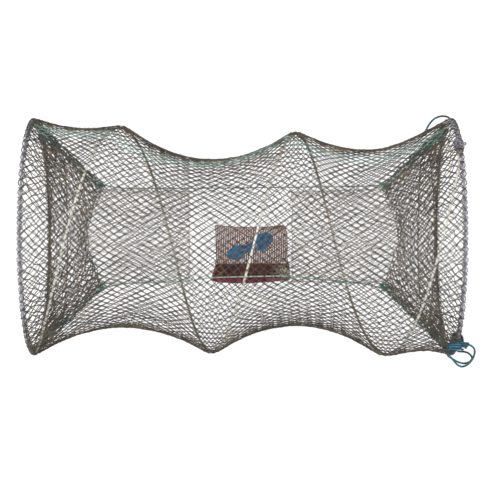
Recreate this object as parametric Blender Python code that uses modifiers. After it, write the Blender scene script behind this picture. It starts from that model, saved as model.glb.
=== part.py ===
# Folding coil-spring crayfish trap, lying on its side as it stands on a lake bed.
# A spring wire between two end rings carries a tube of netting. A net funnel in each end
# narrows to a flat throat, two cords stretch the throats, and a bait pouch hangs between them.
# X runs along the trap, Z is up, and the origin is on the floor under the middle of the trap.
import math

import bmesh
import bpy
from mathutils import Matrix, Vector

# Wire frame
trap_length = 0.610  # between the planes of the end rings
ring_radius = 0.170  # to the middle of the ring wire
coil_inset = 0.008  # how far the middle of the spring wire lies inside that of the rings
wire_diameter = 0.0035
coil_turns = 2  # whole turns, before the part turn that ends at the right ferrule
ferrule_angle = {"left": 0.0, "right": 135.0}  # degrees round the ring, from the front
ferrule_length = 0.020
ferrule_wall = 0.0006
coil_flare = 0.030  # length over which the spring widens to the size of the rings
coil_ease = 0.001  # how softly the spring leaves its ferrules

# Netting. The lattice stands for the fine net: each strand for a few of the real ones.
meshes_round = 16
net_rows = 12
strand = 0.0020
rim_points = 3  # points on the rim for each mesh
net_waist = 0.0447  # how far the net draws in over a full pitch of the spring
rim_waist = 0.85  # share of that in a span that starts or ends at a ring
net_hang = 0.0128  # how far the spring and its net hang to the front, near the right ring
hang_start = 0.50  # length over which that grows, from the left ring
hang_end = 0.120  # and over which it is drawn in again, at the right ring

# Funnels and throats
funnel_depth = 0.096
funnel_bow = 0.022  # how much shorter a funnel is in the middle of its flat sides
throat_half_width = 0.070
throat_half_height = 0.019
throat_end_width = 0.067
throat_end_height = 0.010
left_throat_length = 0.130
right_throat_length = 0.136
funnel_rows = 2
throat_rows = 2

# Lashing of twine that holds both nets to a ring
lashing_diameter = 0.0020
lashing_outward = 0.0070  # from the ring wire to the middle of the twine
lashing_inward = 0.0090
lashing_width = 0.0046
lashing_points = 8  # for each turn
rest_flat = 0.00024  # depth of the flats on the four turns that touch the floor

# Cords that stretch the throats
cord_diameter = 0.0020
seam_diameter = 0.0020
seam_angle = 157.5  # degrees round the net, from the front
knot_radius = 0.0030
cord_sag = 0.006
cord_pull = 0.010  # how far the pouch draws the front cord in

# Bait pouch, sloping up from the front cord to the right throat
pouch_clear = 0.0075  # from the end of the right throat to the side of the pouch
pouch_width = 0.104
pouch_depth = 0.064
pouch_height = 0.019
pouch_cloth = 0.0010
pouch_slope = 11.0  # degrees
hem_width = 0.113
hem_depth = 0.030
hem_height = 0.018
hem_lap = 0.005
hem_clearance = 0.0008  # round the pouch inside the hem
hem_flare = 0.02  # share by which the hem widens at its mouth
pouch_segments = 20

# Hank of hauling line in the pouch
line_diameter = 0.0020
hank_loops = 3  # in each of its two layers
hank_half_length = 0.0355
hank_half_width = 0.0150
hank_lobe_step = 0.0038  # between loops in the lobes
hank_waist_step = 0.0031  # between loops at the waist
hank_layer_step = 0.0026
hank_points = 24  # for each loop
hank_angle = 21.0  # degrees from the trap's length
hank_shift = -0.004  # along the trap from the middle of the pouch
hank_tie_turns = 3
hank_tie_points = 12  # for each turn

# Blue tie on the right ring
tie_diameter = 0.0030
tie_turns = 3
tie_points = 10  # for each turn
tie_angle = 27.9  # degrees round the ring, from the front
tie_droop = 0.6  # how far its loops hang down, as a share of how far they stand out

gap = 0.0003  # between pieces that touch on the real trap

# Sizes that follow
step_angle = 360 / meshes_round
coil_radius = ring_radius - coil_inset
throat_length = {"left": left_throat_length, "right": right_throat_length}
pouch_middle = trap_length - funnel_depth - right_throat_length - pouch_clear - pouch_width / 2
wire_pitch = wire_diameter + gap  # from the ring wire to the spring wire in a ferrule
lashing_fit = (lashing_outward + lashing_inward) / 2 * (1 / math.cos(math.pi / lashing_points) - 1)
segment_angle = step_angle / rim_points  # both wires are straight for this long in a ferrule
coil_start = ferrule_angle["left"] + segment_angle / 2
coil_end = 360 * coil_turns + ferrule_angle["right"] - segment_angle / 2
coil_pitch = trap_length * 360 / (coil_end - coil_start)
ferrule_rise = wire_diameter / 2 + gap + ferrule_wall
rim_offset = ferrule_rise + 3 * gap + strand / 2
ridge_offset = wire_diameter / 2 + 2 * gap + strand / 2
# The strands are straight between their knots, which brings their middles nearer the axis.
lashing_peak = lashing_outward + lashing_fit + lashing_diameter / 2
axis_height = (ring_radius + lashing_peak) * math.cos(math.radians(step_angle / 2)) - rest_flat
row_length = trap_length / net_rows
ring_place = {"left": 0.0, "right": trap_length}
inward = {"left": 1, "right": -1}
face_name = {-1: "front", 1: "back"}

blue = (0.03, 0.20, 0.36)
olive = (0.10, 0.09, 0.07)
green = (0.04, 0.22, 0.14)
maroon = (0.17, 0.02, 0.02)
brown = (0.27, 0.19, 0.16)
zinc = (0.55, 0.55, 0.53)
grey_twine = (0.22, 0.22, 0.25)


def clear_scene():
    for item in list(bpy.data.objects):
        bpy.data.objects.remove(item)


def make_collection(name):
    group = bpy.data.collections.new(name)
    bpy.context.scene.collection.children.link(group)
    return group


def material(name, colour, roughness, metallic=0.0):
    made = bpy.data.materials.get(name)
    if made is None:
        made = bpy.data.materials.new(name)
        made.use_nodes = True
        shader = made.node_tree.nodes["Principled BSDF"]
        shader.inputs["Base Color"].default_value = (*colour, 1)
        shader.inputs["Roughness"].default_value = roughness
        shader.inputs["Metallic"].default_value = metallic
    return made


def finish(item, surface):
    # Puts the piece in the trap's collection, with its material.
    for group in list(item.users_collection):
        group.objects.unlink(item)
    parts.objects.link(item)
    item.data.materials.clear()
    item.data.materials.append(surface)
    return item


def trap_point(x, radius, angle):
    # angle is in degrees round the trap: 0 at the front, 90 on top, 180 at the back.
    turn = math.radians(angle)
    y = -radius * math.cos(turn)
    return Vector((x - trap_length / 2, y, axis_height + radius * math.sin(turn)))


def hung_point(x, radius, angle):
    # The same round the line that the spring hangs in.
    left, right = x - wire_pitch, trap_length - wire_pitch - x
    hang = net_hang * blend(left / hang_start) * blend(right / hang_end)
    return trap_point(x, radius, angle) - Vector((0, hang, 0))


def slot_point(half_width, half_height, share):
    # A point on a flat slot with round ends, share of the way round from its front end.
    # Gives the distances back and up.
    run = 2 * (half_width - half_height)
    quarter = math.pi / 2 * half_height
    share = share % 1
    way = min(share, 1 - share) * 2 * (run + 2 * quarter)
    if way < quarter:
        turn = way / half_height
        back, up = -run / 2 - half_height * math.cos(turn), half_height * math.sin(turn)
    elif way < quarter + run:
        back, up = way - quarter - run / 2, half_height
    else:
        turn = (way - quarter - run) / half_height
        back, up = run / 2 + half_height * math.sin(turn), half_height * math.cos(turn)
    return back, up if share <= 0.5 else -up


def blend(share):
    share = min(max(share, 0), 1)
    return share * share * (3 - 2 * share)


def tube(name, points, diameter, surface):
    data = bpy.data.curves.new(name, "CURVE")
    data.dimensions = "3D"
    data.bevel_depth = diameter / 2
    data.bevel_resolution = 1
    data.use_fill_caps = True
    spline = data.splines.new("POLY")
    spline.points.add(len(points) - 1)
    for place, point in zip(spline.points, points):
        place.co = (*point, 1)
    return finish(bpy.data.objects.new(name, data), surface)


def smooth_route(points, steps):
    # A smooth curve through the points, read at even shares of each stretch.
    ends = [2 * points[0] - points[1]] + points + [2 * points[-1] - points[-2]]
    route = []
    for before, start, stop, after in zip(ends, ends[1:], ends[2:], ends[3:]):
        for step in range(steps):
            t = step / steps
            route.append(
                0.5
                * (
                    2 * start
                    + (stop - before) * t
                    + (2 * before - 5 * start + 4 * stop - after) * t * t
                    + (3 * start - before - 3 * stop + after) * t * t * t
                )
            )
    return route + [points[-1]]


def as_mesh(item):
    # A curve as a welded mesh object of the same name and place.
    graph = bpy.context.evaluated_depsgraph_get()
    mesh = bpy.data.meshes.new_from_object(item.evaluated_get(graph))
    shape = bmesh.new()
    shape.from_mesh(mesh)
    bmesh.ops.remove_doubles(shape, verts=shape.verts, dist=0.00001)
    shape.to_mesh(mesh)
    shape.free()
    name, place, surface = item.name, item.matrix_world.copy(), item.data.materials[0]
    bpy.data.objects.remove(item)
    made = bpy.data.objects.new(name, mesh)
    made.matrix_world = place
    return finish(made, surface)


def coil_place(angle):
    # Where the spring wire is along the trap. It runs beside the ring in each ferrule.
    straight = coil_pitch * (angle - coil_start) / 360
    left = (straight + wire_pitch + math.hypot(straight - wire_pitch, coil_ease)) / 2
    far = trap_length - wire_pitch
    return (left + far - math.hypot(left - far, coil_ease)) / 2


def coil_radius_at(x):
    near = min(x, trap_length - x) - wire_pitch
    return ring_radius + (coil_radius - ring_radius) * blend(near / coil_flare)


def build_ring(side):
    bpy.ops.mesh.primitive_torus_add(
        major_segments=meshes_round * rim_points,
        minor_segments=8,
        major_radius=ring_radius,
        minor_radius=wire_diameter / 2,
    )
    ring = bpy.context.object
    ring.name = f"ring_{side}"
    ring.data.shade_smooth()
    middle = trap_point(ring_place[side], 0, 0)
    upright = Matrix.Rotation(math.pi / 2, 4, "Y")
    turned = Matrix.Rotation(math.radians(segment_angle / 2), 4, "Z")
    ring.matrix_world = Matrix.Translation(middle) @ upright @ turned
    return finish(ring, material("zinc_wire", zinc, 0.4, 0.9))


def build_spring():
    first, last = coil_start - segment_angle, coil_end + segment_angle
    points = []
    for step in range(round((last - first) / segment_angle) + 1):
        angle = first + segment_angle * step
        x = coil_place(angle)
        points.append(hung_point(x, coil_radius_at(x), angle))
    return tube("spring_wire", points, wire_diameter, material("zinc_wire", zinc, 0.4, 0.9))


def stadium(half_run, radius, points=6):
    # Outline of a slot with round ends, its middles half_run either side of the origin.
    outline = []
    for side in (1, -1):
        for step in range(points + 1):
            turn = math.pi * (step / points - 0.5)
            x = side * (half_run + radius * math.cos(turn))
            outline.append((x, side * radius * math.sin(turn)))
    return outline


def build_ferrule(side):
    # A sleeve crimped over the ring wire and the end of the spring wire.
    name = f"ferrule_{side}"
    data = bpy.data.curves.new(name, "CURVE")
    data.dimensions = "2D"
    data.fill_mode = "BOTH"
    data.extrude = ferrule_length / 2
    bore = wire_diameter / 2 + gap
    for radius in (bore + ferrule_wall, bore):
        outline = stadium(wire_pitch / 2, radius)
        spline = data.splines.new("POLY")
        spline.points.add(len(outline) - 1)
        for place, (x, y) in zip(spline.points, outline):
            place.co = (x, y, 0, 1)
        spline.use_cyclic_u = True
    sleeve = bpy.data.objects.new(name, data)
    angle = ferrule_angle[side]
    x = ring_place[side] + inward[side] * wire_pitch / 2
    out = trap_point(0, 1, angle) - trap_point(0, 0, angle)
    along = Vector((1, 0, 0))
    turned = Matrix((along, out, along.cross(out))).transposed().to_4x4()
    straight = ring_radius * math.cos(math.radians(segment_angle / 2))
    middle = trap_point(x, straight, angle)
    sleeve.matrix_world = Matrix.Translation(middle) @ turned
    return finish(sleeve, material("zinc_ferrule", zinc, 0.35, 1.0))


def lattice(name, levels, first_angle, place, ring_rows):
    # A tube of netting with diamond meshes. place(level, angle) gives each knot, and the
    # rows at a ring have more points, to follow it.
    shape = bmesh.new()
    rows = []
    for number, level in enumerate(levels):
        shift = first_angle + (number % 2) * step_angle / 2
        fine = rim_points if number in ring_rows else 1
        angles = [shift + step_angle * k / fine for k in range(meshes_round * fine)]
        rows.append([shape.verts.new(place(level, angle)) for angle in angles])
    add_meshes(shape, rows)
    bmesh.ops.recalc_face_normals(shape, faces=shape.faces)
    mesh = bpy.data.meshes.new(name)
    shape.to_mesh(mesh)
    shape.free()
    net = bpy.data.objects.new(name, mesh)
    wires = net.modifiers.new("Strands", "WIREFRAME")
    wires.thickness = strand
    wires.use_even_offset = False
    wires.use_boundary = True
    # Long diagonals keep a twisted strand full where it turns from one knot to the next.
    split = net.modifiers.new("Split", "TRIANGULATE")
    split.quad_method = "LONGEST_DIAGONAL"
    return finish(net, material("net_twine", olive, 0.8))


def main_knot(row, k):
    return row[(k % meshes_round) * (len(row) // meshes_round)]


def add_meshes(shape, rows):
    # Whole meshes between the rows of knots, and half meshes along the two rims.
    # An odd row starts half a mesh further round.
    for number in range(1, len(rows) - 1):
        before, row, after = rows[number - 1 : number + 2]
        for k in range(meshes_round):
            side = k + number % 2
            corners = (row[k], main_knot(before, side), row[(k + 1) % meshes_round])
            shape.faces.new((*corners, main_knot(after, side)))
    for rim, number, inner in ((rows[0], 0, rows[1]), (rows[-1], len(rows) - 1, rows[-2])):
        fine = len(rim) // meshes_round
        for k in range(meshes_round):
            edge = [rim[(k * fine + n) % len(rim)] for n in range(fine + 1)]
            shape.faces.new((*edge, main_knot(inner, k + number % 2)))


def ridges(angle):
    # Where the spring crosses this angle of the trap, from left to right, past the rings.
    start = coil_pitch * ((angle - coil_start) / 360 % 1)
    places = [start + coil_pitch * turn for turn in range(coil_turns + 1)]
    return [x for x in places if 3 * wire_pitch < x < trap_length - 3 * wire_pitch]


def ridge_radius(x):
    return coil_radius_at(x) + ridge_offset


def net_radius(x, angle):
    # The net is drawn tight between the rings and the turns of the spring.
    rim = ring_radius + rim_offset
    holds = [(0.0, rim)]
    holds += [(place, ridge_radius(place)) for place in ridges(angle)]
    holds += [(trap_length, rim)]
    for (start, low), (stop, high) in zip(holds, holds[1:]):
        if start <= x <= stop and stop > start:
            share = (x - start) / (stop - start)
            waist = 4 * net_waist * ((stop - start) / coil_pitch) ** 2
            if start == 0.0 or stop == trap_length:
                waist *= rim_waist
            return low + (high - low) * share - waist * share * (1 - share)
    return rim


def turns_past_spring(x, angle):
    # Changes by one from each side of the spring to the next, and is whole on it.
    return x / coil_pitch - (angle - coil_start) / 360


def draped_radius(x, angle):
    # Strands are straight between their knots, so where one would pass through the
    # spring its knots lie further out, until it rests on the wire.
    radius = net_radius(x, angle)
    if not row_length / 2 < x < trap_length - row_length / 2:
        return radius
    here, before = hung_point(x, radius, angle), turns_past_spring(x, angle)
    lift = 0.0
    for along in (-row_length, row_length):
        for turn in (-step_angle / 2, step_angle / 2):
            far = x + along, angle + turn
            after = turns_past_spring(*far)
            line = max(math.floor(before), math.floor(after))
            if line == min(math.floor(before), math.floor(after)):
                continue
            share = (line - before) / (after - before)
            crossing = here.lerp(hung_point(far[0], net_radius(*far), far[1]), share)
            middle = hung_point(x + along * share, 0, 0)
            low = ridge_radius(x + along * share) - (crossing - middle).length
            # The far knot moves out as much, unless it is on the rim.
            at_rim = not row_length / 2 < far[0] < trap_length - row_length / 2
            lift = max(lift, low / (1 - share) if at_rim else low)
    return radius + lift


def build_outer_net():
    levels = [row_length * n for n in range(net_rows + 1)]

    def place(x, angle):
        return hung_point(x, draped_radius(x, angle), angle)

    return lattice("outer_net", levels, step_angle / 2, place, (0, net_rows))


def build_net_seam():
    # Lacing that closes the net from ring to ring, over the knots in line with it.
    clear = strand / 2 + 2 * gap + seam_diameter / 2
    end = lashing_width + lashing_diameter / 2 + gap
    route = [hung_point(end, ring_radius + rim_offset, seam_angle)]
    spots = [(x, ridge_radius(x)) for x in ridges(seam_angle)]
    for row in range(1, net_rows, 2):
        spots.append((row_length * row, draped_radius(row_length * row, seam_angle)))
    route += [hung_point(x, radius + clear, seam_angle) for x, radius in sorted(spots)]
    route.append(hung_point(trap_length - end, ring_radius + rim_offset, seam_angle))
    surface = material("green_cord", green, 0.6)
    return tube("net_seam", smooth_route(route, 3), seam_diameter, surface)


def funnel_section(side, depth):
    # Half width and half height of the throat, or of the throat end of a funnel.
    share = max(depth - funnel_depth, 0) / throat_length[side]
    return (
        throat_half_width + (throat_end_width - throat_half_width) * share,
        throat_half_height + (throat_end_height - throat_half_height) * share,
    )


def funnel_point(side, depth, angle):
    # The funnel runs straight from the round ring to the flat throat, which starts
    # nearer the ring in the middle of its flat sides than at its edges.
    rim = ring_radius - rim_offset
    share = min(depth / funnel_depth, 1)
    past = max(depth - funnel_depth, 0) / throat_length[side]
    bow = funnel_bow * math.sin(math.radians(angle)) ** 2 * (share**3 - past)
    x = ring_place[side] + inward[side] * (depth - bow)
    round_point = trap_point(x, rim, angle)
    back, up = slot_point(*funnel_section(side, depth), angle / 360)
    flat_point = Vector((x - trap_length / 2, back, axis_height + up))
    return round_point.lerp(flat_point, share)


def build_funnel(side):
    levels = [funnel_depth * n / funnel_rows for n in range(funnel_rows)]
    run = throat_length[side]
    levels += [funnel_depth + run * n / throat_rows for n in range(throat_rows + 1)]

    def place(depth, angle):
        return funnel_point(side, depth, angle)

    return lattice(f"funnel_{side}", levels, 0.0, place, (0,))


def winding(side, outward, inner, width, start, pitch, turns, per_turn):
    # Points of a cord wound round a ring, from its outside at the start angle. outward,
    # inner and width are from the ring wire to the cord's middle on each flat.
    fit = 1 / math.cos(math.pi / per_turn)
    reach, shift = (outward + inner) / 2, (outward - inner) / 2
    points = []
    for step in range(turns * per_turn + 1):
        turn = 2 * math.pi * step / per_turn
        x = ring_place[side] + inward[side] * width * fit * math.sin(turn)
        radius = ring_radius + shift + reach * fit * math.cos(turn)
        points.append(trap_point(x, radius, start + pitch * step / per_turn))
    return points


def build_lashing(side):
    # Twine wound over the ring and the rims of both nets, from one side of the ferrule
    # round to the other.
    start = ferrule_angle[side] + step_angle / 2
    turns = meshes_round - 1
    reach = lashing_outward, lashing_inward, lashing_width
    points = winding(side, *reach, start, step_angle, turns, lashing_points)
    clear = least_gap(points, lashing_diameter)
    print(f"lashing_{side} least gap in mm:", round(1000 * clear, 2))
    name = f"lashing_{side}"
    surface = material("lashing_twine", grey_twine, 0.75)
    lashing = as_mesh(tube(name, points, lashing_diameter, surface))
    shape = bmesh.new()
    shape.from_mesh(lashing.data)
    cut = bmesh.ops.bisect_plane(
        shape,
        geom=shape.verts[:] + shape.edges[:] + shape.faces[:],
        plane_co=(0, 0, 0),
        plane_no=(0, 0, -1),
        clear_outer=True,
    )
    rim = [item for item in cut["geom_cut"] if isinstance(item, bmesh.types.BMEdge)]
    bmesh.ops.holes_fill(shape, edges=rim)
    shape.to_mesh(lashing.data)
    shape.free()
    return lashing


def knot_place(side, face):
    # A corner knot seats in the angle between the funnel and its throat. face is -1 at
    # the front and 1 at the back.
    slope = math.atan2(ring_radius - rim_offset - throat_half_width, funnel_depth)
    offset = (knot_radius + strand / 2 + gap) / math.cos(slope)
    x = ring_place[side] + inward[side] * funnel_depth - trap_length / 2
    return Vector((x, face * (throat_half_width + offset), axis_height))


def build_corner_knot(side, face):
    bpy.ops.mesh.primitive_ico_sphere_add(
        subdivisions=2, radius=knot_radius, location=knot_place(side, face)
    )
    knot = bpy.context.object
    knot.name = f"corner_knot_{side}_{face_name[face]}"
    knot.data.shade_smooth()
    return finish(knot, material("green_cord", green, 0.6))


def cord_beside_throat(side, depth, face):
    width, _ = funnel_section(side, depth)
    x = ring_place[side] + inward[side] * depth - trap_length / 2
    offset = strand / 2 + gap + cord_diameter / 2
    return Vector((x, face * (width + offset), axis_height))


def cord_route(face):
    # From the left corner knot along both throats to the right corner knot.
    ends = {}
    for side in ("left", "right"):
        knot = knot_place(side, face)
        start = knot + Vector((inward[side] * (knot_radius + gap), 0, 0))
        run = [start]
        for share in (0.25, 0.6, 1.0):
            run.append(cord_beside_throat(side, funnel_depth + throat_length[side] * share, face))
        ends[side] = run
    left, right = ends["left"], ends["right"]
    middle_x = pouch_middle - trap_length / 2
    pull = cord_pull if face < 0 else 0.0
    # The front cord sags under the pouch, and stays clear of the right throat.
    middle = Vector((middle_x - hem_width / 4, left[-1].y - face * pull, axis_height - cord_sag))
    return left + [middle] + right[::-1]


def build_cord(face):
    name = f"cord_{face_name[face]}"
    route = smooth_route(cord_route(face), 4)
    return tube(name, route, cord_diameter, material("green_cord", green, 0.6))


def build_funnel_lacing(side, face):
    # Lacing along the fold of the funnel, from the lashing to the corner knot.
    knot = knot_place(side, face)
    slope = math.atan2(ring_radius - rim_offset - throat_half_width, funnel_depth)
    away = Vector((inward[side] * math.cos(slope), -face * math.sin(slope), 0))
    stop = knot - away * (knot_radius + gap)
    depth = lashing_width + lashing_diameter / 2 + seam_diameter / 2 + gap
    run = (stop.x + trap_length / 2 - ring_place[side]) * inward[side] - depth
    start = stop - away * (run / math.cos(slope))
    points = [start.lerp(stop, share) for share in (0, 0.33, 0.67, 1)]
    name = f"lacing_{side}_{face_name[face]}"
    return tube(name, points, seam_diameter, material("green_cord", green, 0.6))


def band(name, rows, closed_end, surface):
    # An open flat sleeve of cloth, from a list of (place along it, half width, half
    # height, rise), closed at its last row where closed_end is set.
    shape = bmesh.new()
    loops = []
    for along, half_width, half_height, rise in rows:
        loop = []
        for k in range(pouch_segments):
            turn = 2 * math.pi * k / pouch_segments
            side, up = math.cos(turn), math.sin(turn)
            x = half_width * math.copysign(abs(side) ** 0.6, side)
            loop.append(shape.verts.new((x, along, rise + half_height * up)))
        loops.append(loop)
    for first, second in zip(loops, loops[1:]):
        for k in range(pouch_segments):
            j = (k + 1) % pouch_segments
            shape.faces.new((first[k], first[j], second[j], second[k]))
    if closed_end:
        half = pouch_segments // 2
        last = loops[-1]
        for k in range(half - 1):
            above, below = last[k + 1], last[pouch_segments - k - 1]
            before = (last[k], last[(pouch_segments - k) % pouch_segments])
            corners = [before[0], above, below] if k == 0 else [before[0], above, below, before[1]]
            shape.faces.new(corners)
        shape.faces.new((last[half - 1], last[half], last[half + 1]))
    bmesh.ops.recalc_face_normals(shape, faces=shape.faces)
    mesh = bpy.data.meshes.new(name)
    shape.to_mesh(mesh)
    shape.free()
    mesh.shade_smooth()
    cloth = bpy.data.objects.new(name, mesh)
    wall = cloth.modifiers.new("Cloth", "SOLIDIFY")
    wall.thickness = pouch_cloth
    wall.offset = -1
    wall.use_even_offset = True
    return finish(cloth, surface)


def pouch_frame():
    # The pouch's own axes: its origin is where the front cord crosses the hem.
    front = cord_route(-1)[4]
    place = Vector((pouch_middle - trap_length / 2, front.y, front.z))
    return Matrix.Translation(place) @ Matrix.Rotation(math.radians(pouch_slope), 4, "X")


def pouch_drop():
    # The middle of the hem lies this far under the middle of the cord.
    return cord_diameter / 2 + gap + hem_height / 2


def build_pouch():
    start = hem_depth * 0.5 - hem_lap
    neck_height = hem_height / 2 - pouch_cloth - hem_clearance
    neck_width = hem_width / 2 - pouch_cloth - 2 * hem_clearance
    drop = -pouch_drop()
    rows = [
        (start, neck_width, neck_height, drop),
        (start + hem_lap + 2 * hem_clearance, neck_width, neck_height, drop),
        (start + pouch_depth * 0.25, pouch_width / 2, pouch_height / 2, drop),
        (start + pouch_depth * 0.6, pouch_width / 2, pouch_height / 2, drop),
        (start + pouch_depth * 0.85, pouch_width / 2 * 0.99, pouch_height * 0.36, drop),
        (start + pouch_depth, pouch_width / 2 * 0.93, pouch_height * 0.14, drop),
    ]
    pouch = band("pouch_body", rows, True, material("pouch_mesh", brown, 0.85))
    pouch.matrix_world = pouch_frame()
    return pouch


def build_hem():
    drop = -pouch_drop()
    rows = []
    for share in (-0.5, -0.2, 0.15, 0.5):
        flare = 1 + 2 * hem_flare * max(-share, 0)
        rows.append((hem_depth * share, hem_width / 2 * flare, hem_height / 2, drop))
    hem = band("pouch_hem", rows, False, material("hem_cloth", maroon, 0.8))
    hem.matrix_world = pouch_frame()
    return hem


def hank_waist():
    # Half the width of the hank at its waist, to the middle of the outer loop.
    return hank_waist_step * hank_loops


def hank_route():
    # Loops that spiral in, climb half a turn while they reverse and spiral out on top,
    # drawn in at the waist.
    route = []
    for step in range(2 * hank_loops * hank_points + 1):
        turns = step / hank_points
        depth = min(turns, 2 * hank_loops - turns)
        height = (blend(2 * (turns - hank_loops) + 0.5) - 0.5) * hank_layer_step
        turn = 2 * math.pi * (turns + 0.25)
        x = (hank_half_length - hank_lobe_step * depth) * math.cos(turn)
        pinch = math.exp(-((x / (0.36 * hank_half_length)) ** 2))
        lobe = hank_half_width - hank_lobe_step * depth
        waist = hank_waist() + hank_waist_step * (0.55 - depth)
        y = (lobe + (waist - lobe) * pinch) * math.sin(turn)
        route.append(Vector((x, y, height)))
    return route


def hank_tie_route():
    # Turns of the same line round the waist of the hank.
    clear = line_diameter + gap
    half_height = (hank_layer_step / 2 + clear) / math.cos(math.pi / hank_tie_points)
    half_width = hank_waist() + 0.55 * hank_waist_step + 2 * clear
    run = line_diameter + 2 * gap
    route = []
    for step in range(hank_tie_turns * hank_tie_points + 1):
        turns = step / hank_tie_points
        back, up = slot_point(half_width, half_height, turns)
        route.append(Vector((run * (turns - hank_tie_turns / 2), back, up)))
    return route


def least_gap(route, diameter, skip=4):
    # The least gap of a wound tube to itself, measured on its points.
    least = math.inf
    for k, point in enumerate(route):
        for other in route[k + skip :]:
            least = min(least, (point - other).length - diameter)
    return least


def hank_frame():
    # The hank lies on the floor of the pouch, on its tie.
    lowest = hank_layer_step / 2 + 1.5 * line_diameter + 2 * gap
    floor = -pouch_drop() - pouch_height / 2 + pouch_cloth + lowest + 3 * gap
    middle = Vector((hank_shift, hem_depth / 2 - hem_lap + pouch_depth * 0.48, floor))
    turned = Matrix.Rotation(math.radians(hank_angle), 4, "Z")
    return pouch_frame() @ Matrix.Translation(middle) @ turned


def build_hank():
    surface = material("blue_line", blue, 0.6)
    for name, route in (("hank", hank_route()), ("hank_tie", hank_tie_route())):
        print(name, "least gap in mm:", round(1000 * least_gap(route, line_diameter), 2))
        item = tube(name, route, line_diameter, surface)
        item.matrix_world = hank_frame()


def tie_reach():
    # From the ring wire to the middle of the tie: outward, inward and sideways.
    clear = (lashing_diameter + tie_diameter) / 2 + 2 * gap
    return [size + clear for size in (lashing_outward, lashing_inward, lashing_width)]


def tie_pitch():
    return math.degrees((tie_diameter + 2 * gap) / (ring_radius - tie_reach()[1]))


def build_tie():
    # Three turns of cord hitched round the ring, over the lashing.
    start = tie_angle - tie_pitch() * tie_turns / 2
    points = winding("right", *tie_reach(), start, tie_pitch(), tie_turns, tie_points)
    print("tie_hitch least gap in mm:", round(1000 * least_gap(points, tie_diameter), 2))
    return tube("tie_hitch", points, tie_diameter, material("blue_cord", blue, 0.5))


def hitch_point(along, out, turn):
    # A point along the trap from the ring, out from the face of the hitch, and so many
    # turns of the hitch from its middle.
    outward, inner, _ = tie_reach()
    fit = (outward + inner) / 2 * (1 / math.cos(math.pi / tie_points) - 1)
    face = ring_radius + outward + fit + tie_diameter / 2 + 2 * gap
    stiff = trap_point(trap_length + along, face + out, tie_angle + tie_pitch() * turn)
    return stiff - Vector((0, 0, tie_droop * max(out, 0)))


def build_tie_loop_long():
    route = [
        hitch_point(0.0090, -0.0070, 1.25),
        hitch_point(0.0142, -0.0066, 1.35),
        hitch_point(0.0195, -0.0040, 1.35),
        hitch_point(0.0232, 0.0005, 1.25),
        hitch_point(0.0238, 0.0065, 1.20),
        hitch_point(0.0215, 0.0160, 1.15),
        hitch_point(0.0150, 0.0250, 1.10),
        hitch_point(0.0072, 0.0290, 1.00),
        hitch_point(0.0000, 0.0260, 0.95),
        hitch_point(-0.0062, 0.0180, 0.90),
        hitch_point(-0.0125, 0.0100, 0.85),
        hitch_point(-0.0145, 0.0050, 0.80),
        hitch_point(-0.0132, 0.0000, 0.75),
        hitch_point(-0.0094, -0.0045, 0.75),
    ]
    surface = material("blue_cord", blue, 0.5)
    return tube("tie_loop_long", smooth_route(route, 3), tie_diameter, surface)


def build_tie_loop_short():
    route = [
        hitch_point(0.0000, 0.0008, -0.55),
        hitch_point(0.0045, 0.0011, -0.60),
        hitch_point(0.0095, 0.0013, -0.65),
        hitch_point(0.0150, 0.0030, -0.70),
        hitch_point(0.0196, 0.0070, -0.75),
        hitch_point(0.0214, 0.0115, -0.80),
        hitch_point(0.0190, 0.0162, -0.90),
        hitch_point(0.0135, 0.0190, -0.95),
        hitch_point(0.0072, 0.0190, -1.00),
        hitch_point(-0.0002, 0.0161, -1.10),
        hitch_point(-0.0064, 0.0117, -1.15),
        hitch_point(-0.0120, 0.0074, -1.20),
        hitch_point(-0.0140, 0.0035, -1.25),
        hitch_point(-0.0130, -0.0005, -1.25),
        hitch_point(-0.0102, -0.0040, -1.25),
    ]
    surface = material("blue_cord", blue, 0.5)
    return tube("tie_loop_short", smooth_route(route, 3), tie_diameter, surface)


def build_top_loop():
    # A short loop at the back, from the rim of the net at the right ring to its next knot.
    clear = strand / 2 + gap + tie_diameter / 2
    rim = ring_radius + rim_offset + clear
    knot_x = trap_length - row_length
    knot = draped_radius(knot_x, 180) + clear
    route = [
        hung_point(trap_length - 0.002, rim, 180),
        hung_point(trap_length - 0.012, rim + 0.002, 180),
        hung_point(trap_length - 0.022, rim + 0.001, 180),
        hung_point(trap_length - 0.033, rim - 0.004, 180),
        hung_point(knot_x + 0.005, knot + 0.006, 180),
        hung_point(knot_x, knot, 180),
    ]
    surface = material("blue_cord", blue, 0.5)
    return tube("top_loop", smooth_route(route, 4), tie_diameter, surface)


def build_trap():
    for side in ("left", "right"):
        build_ring(side)
        build_ferrule(side)
        build_funnel(side)
        build_lashing(side)
        for face in face_name:
            build_corner_knot(side, face)
            build_funnel_lacing(side, face)
    build_spring()
    build_outer_net()
    build_net_seam()
    for face in face_name:
        build_cord(face)
    build_pouch()
    build_hem()
    build_hank()
    build_tie()
    build_tie_loop_long()
    build_tie_loop_short()
    build_top_loop()


clear_scene()
parts = make_collection("crayfish_trap")
build_trap()
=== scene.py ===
import bpy
import math
import numpy as np
from mathutils import Matrix, Vector


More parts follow.
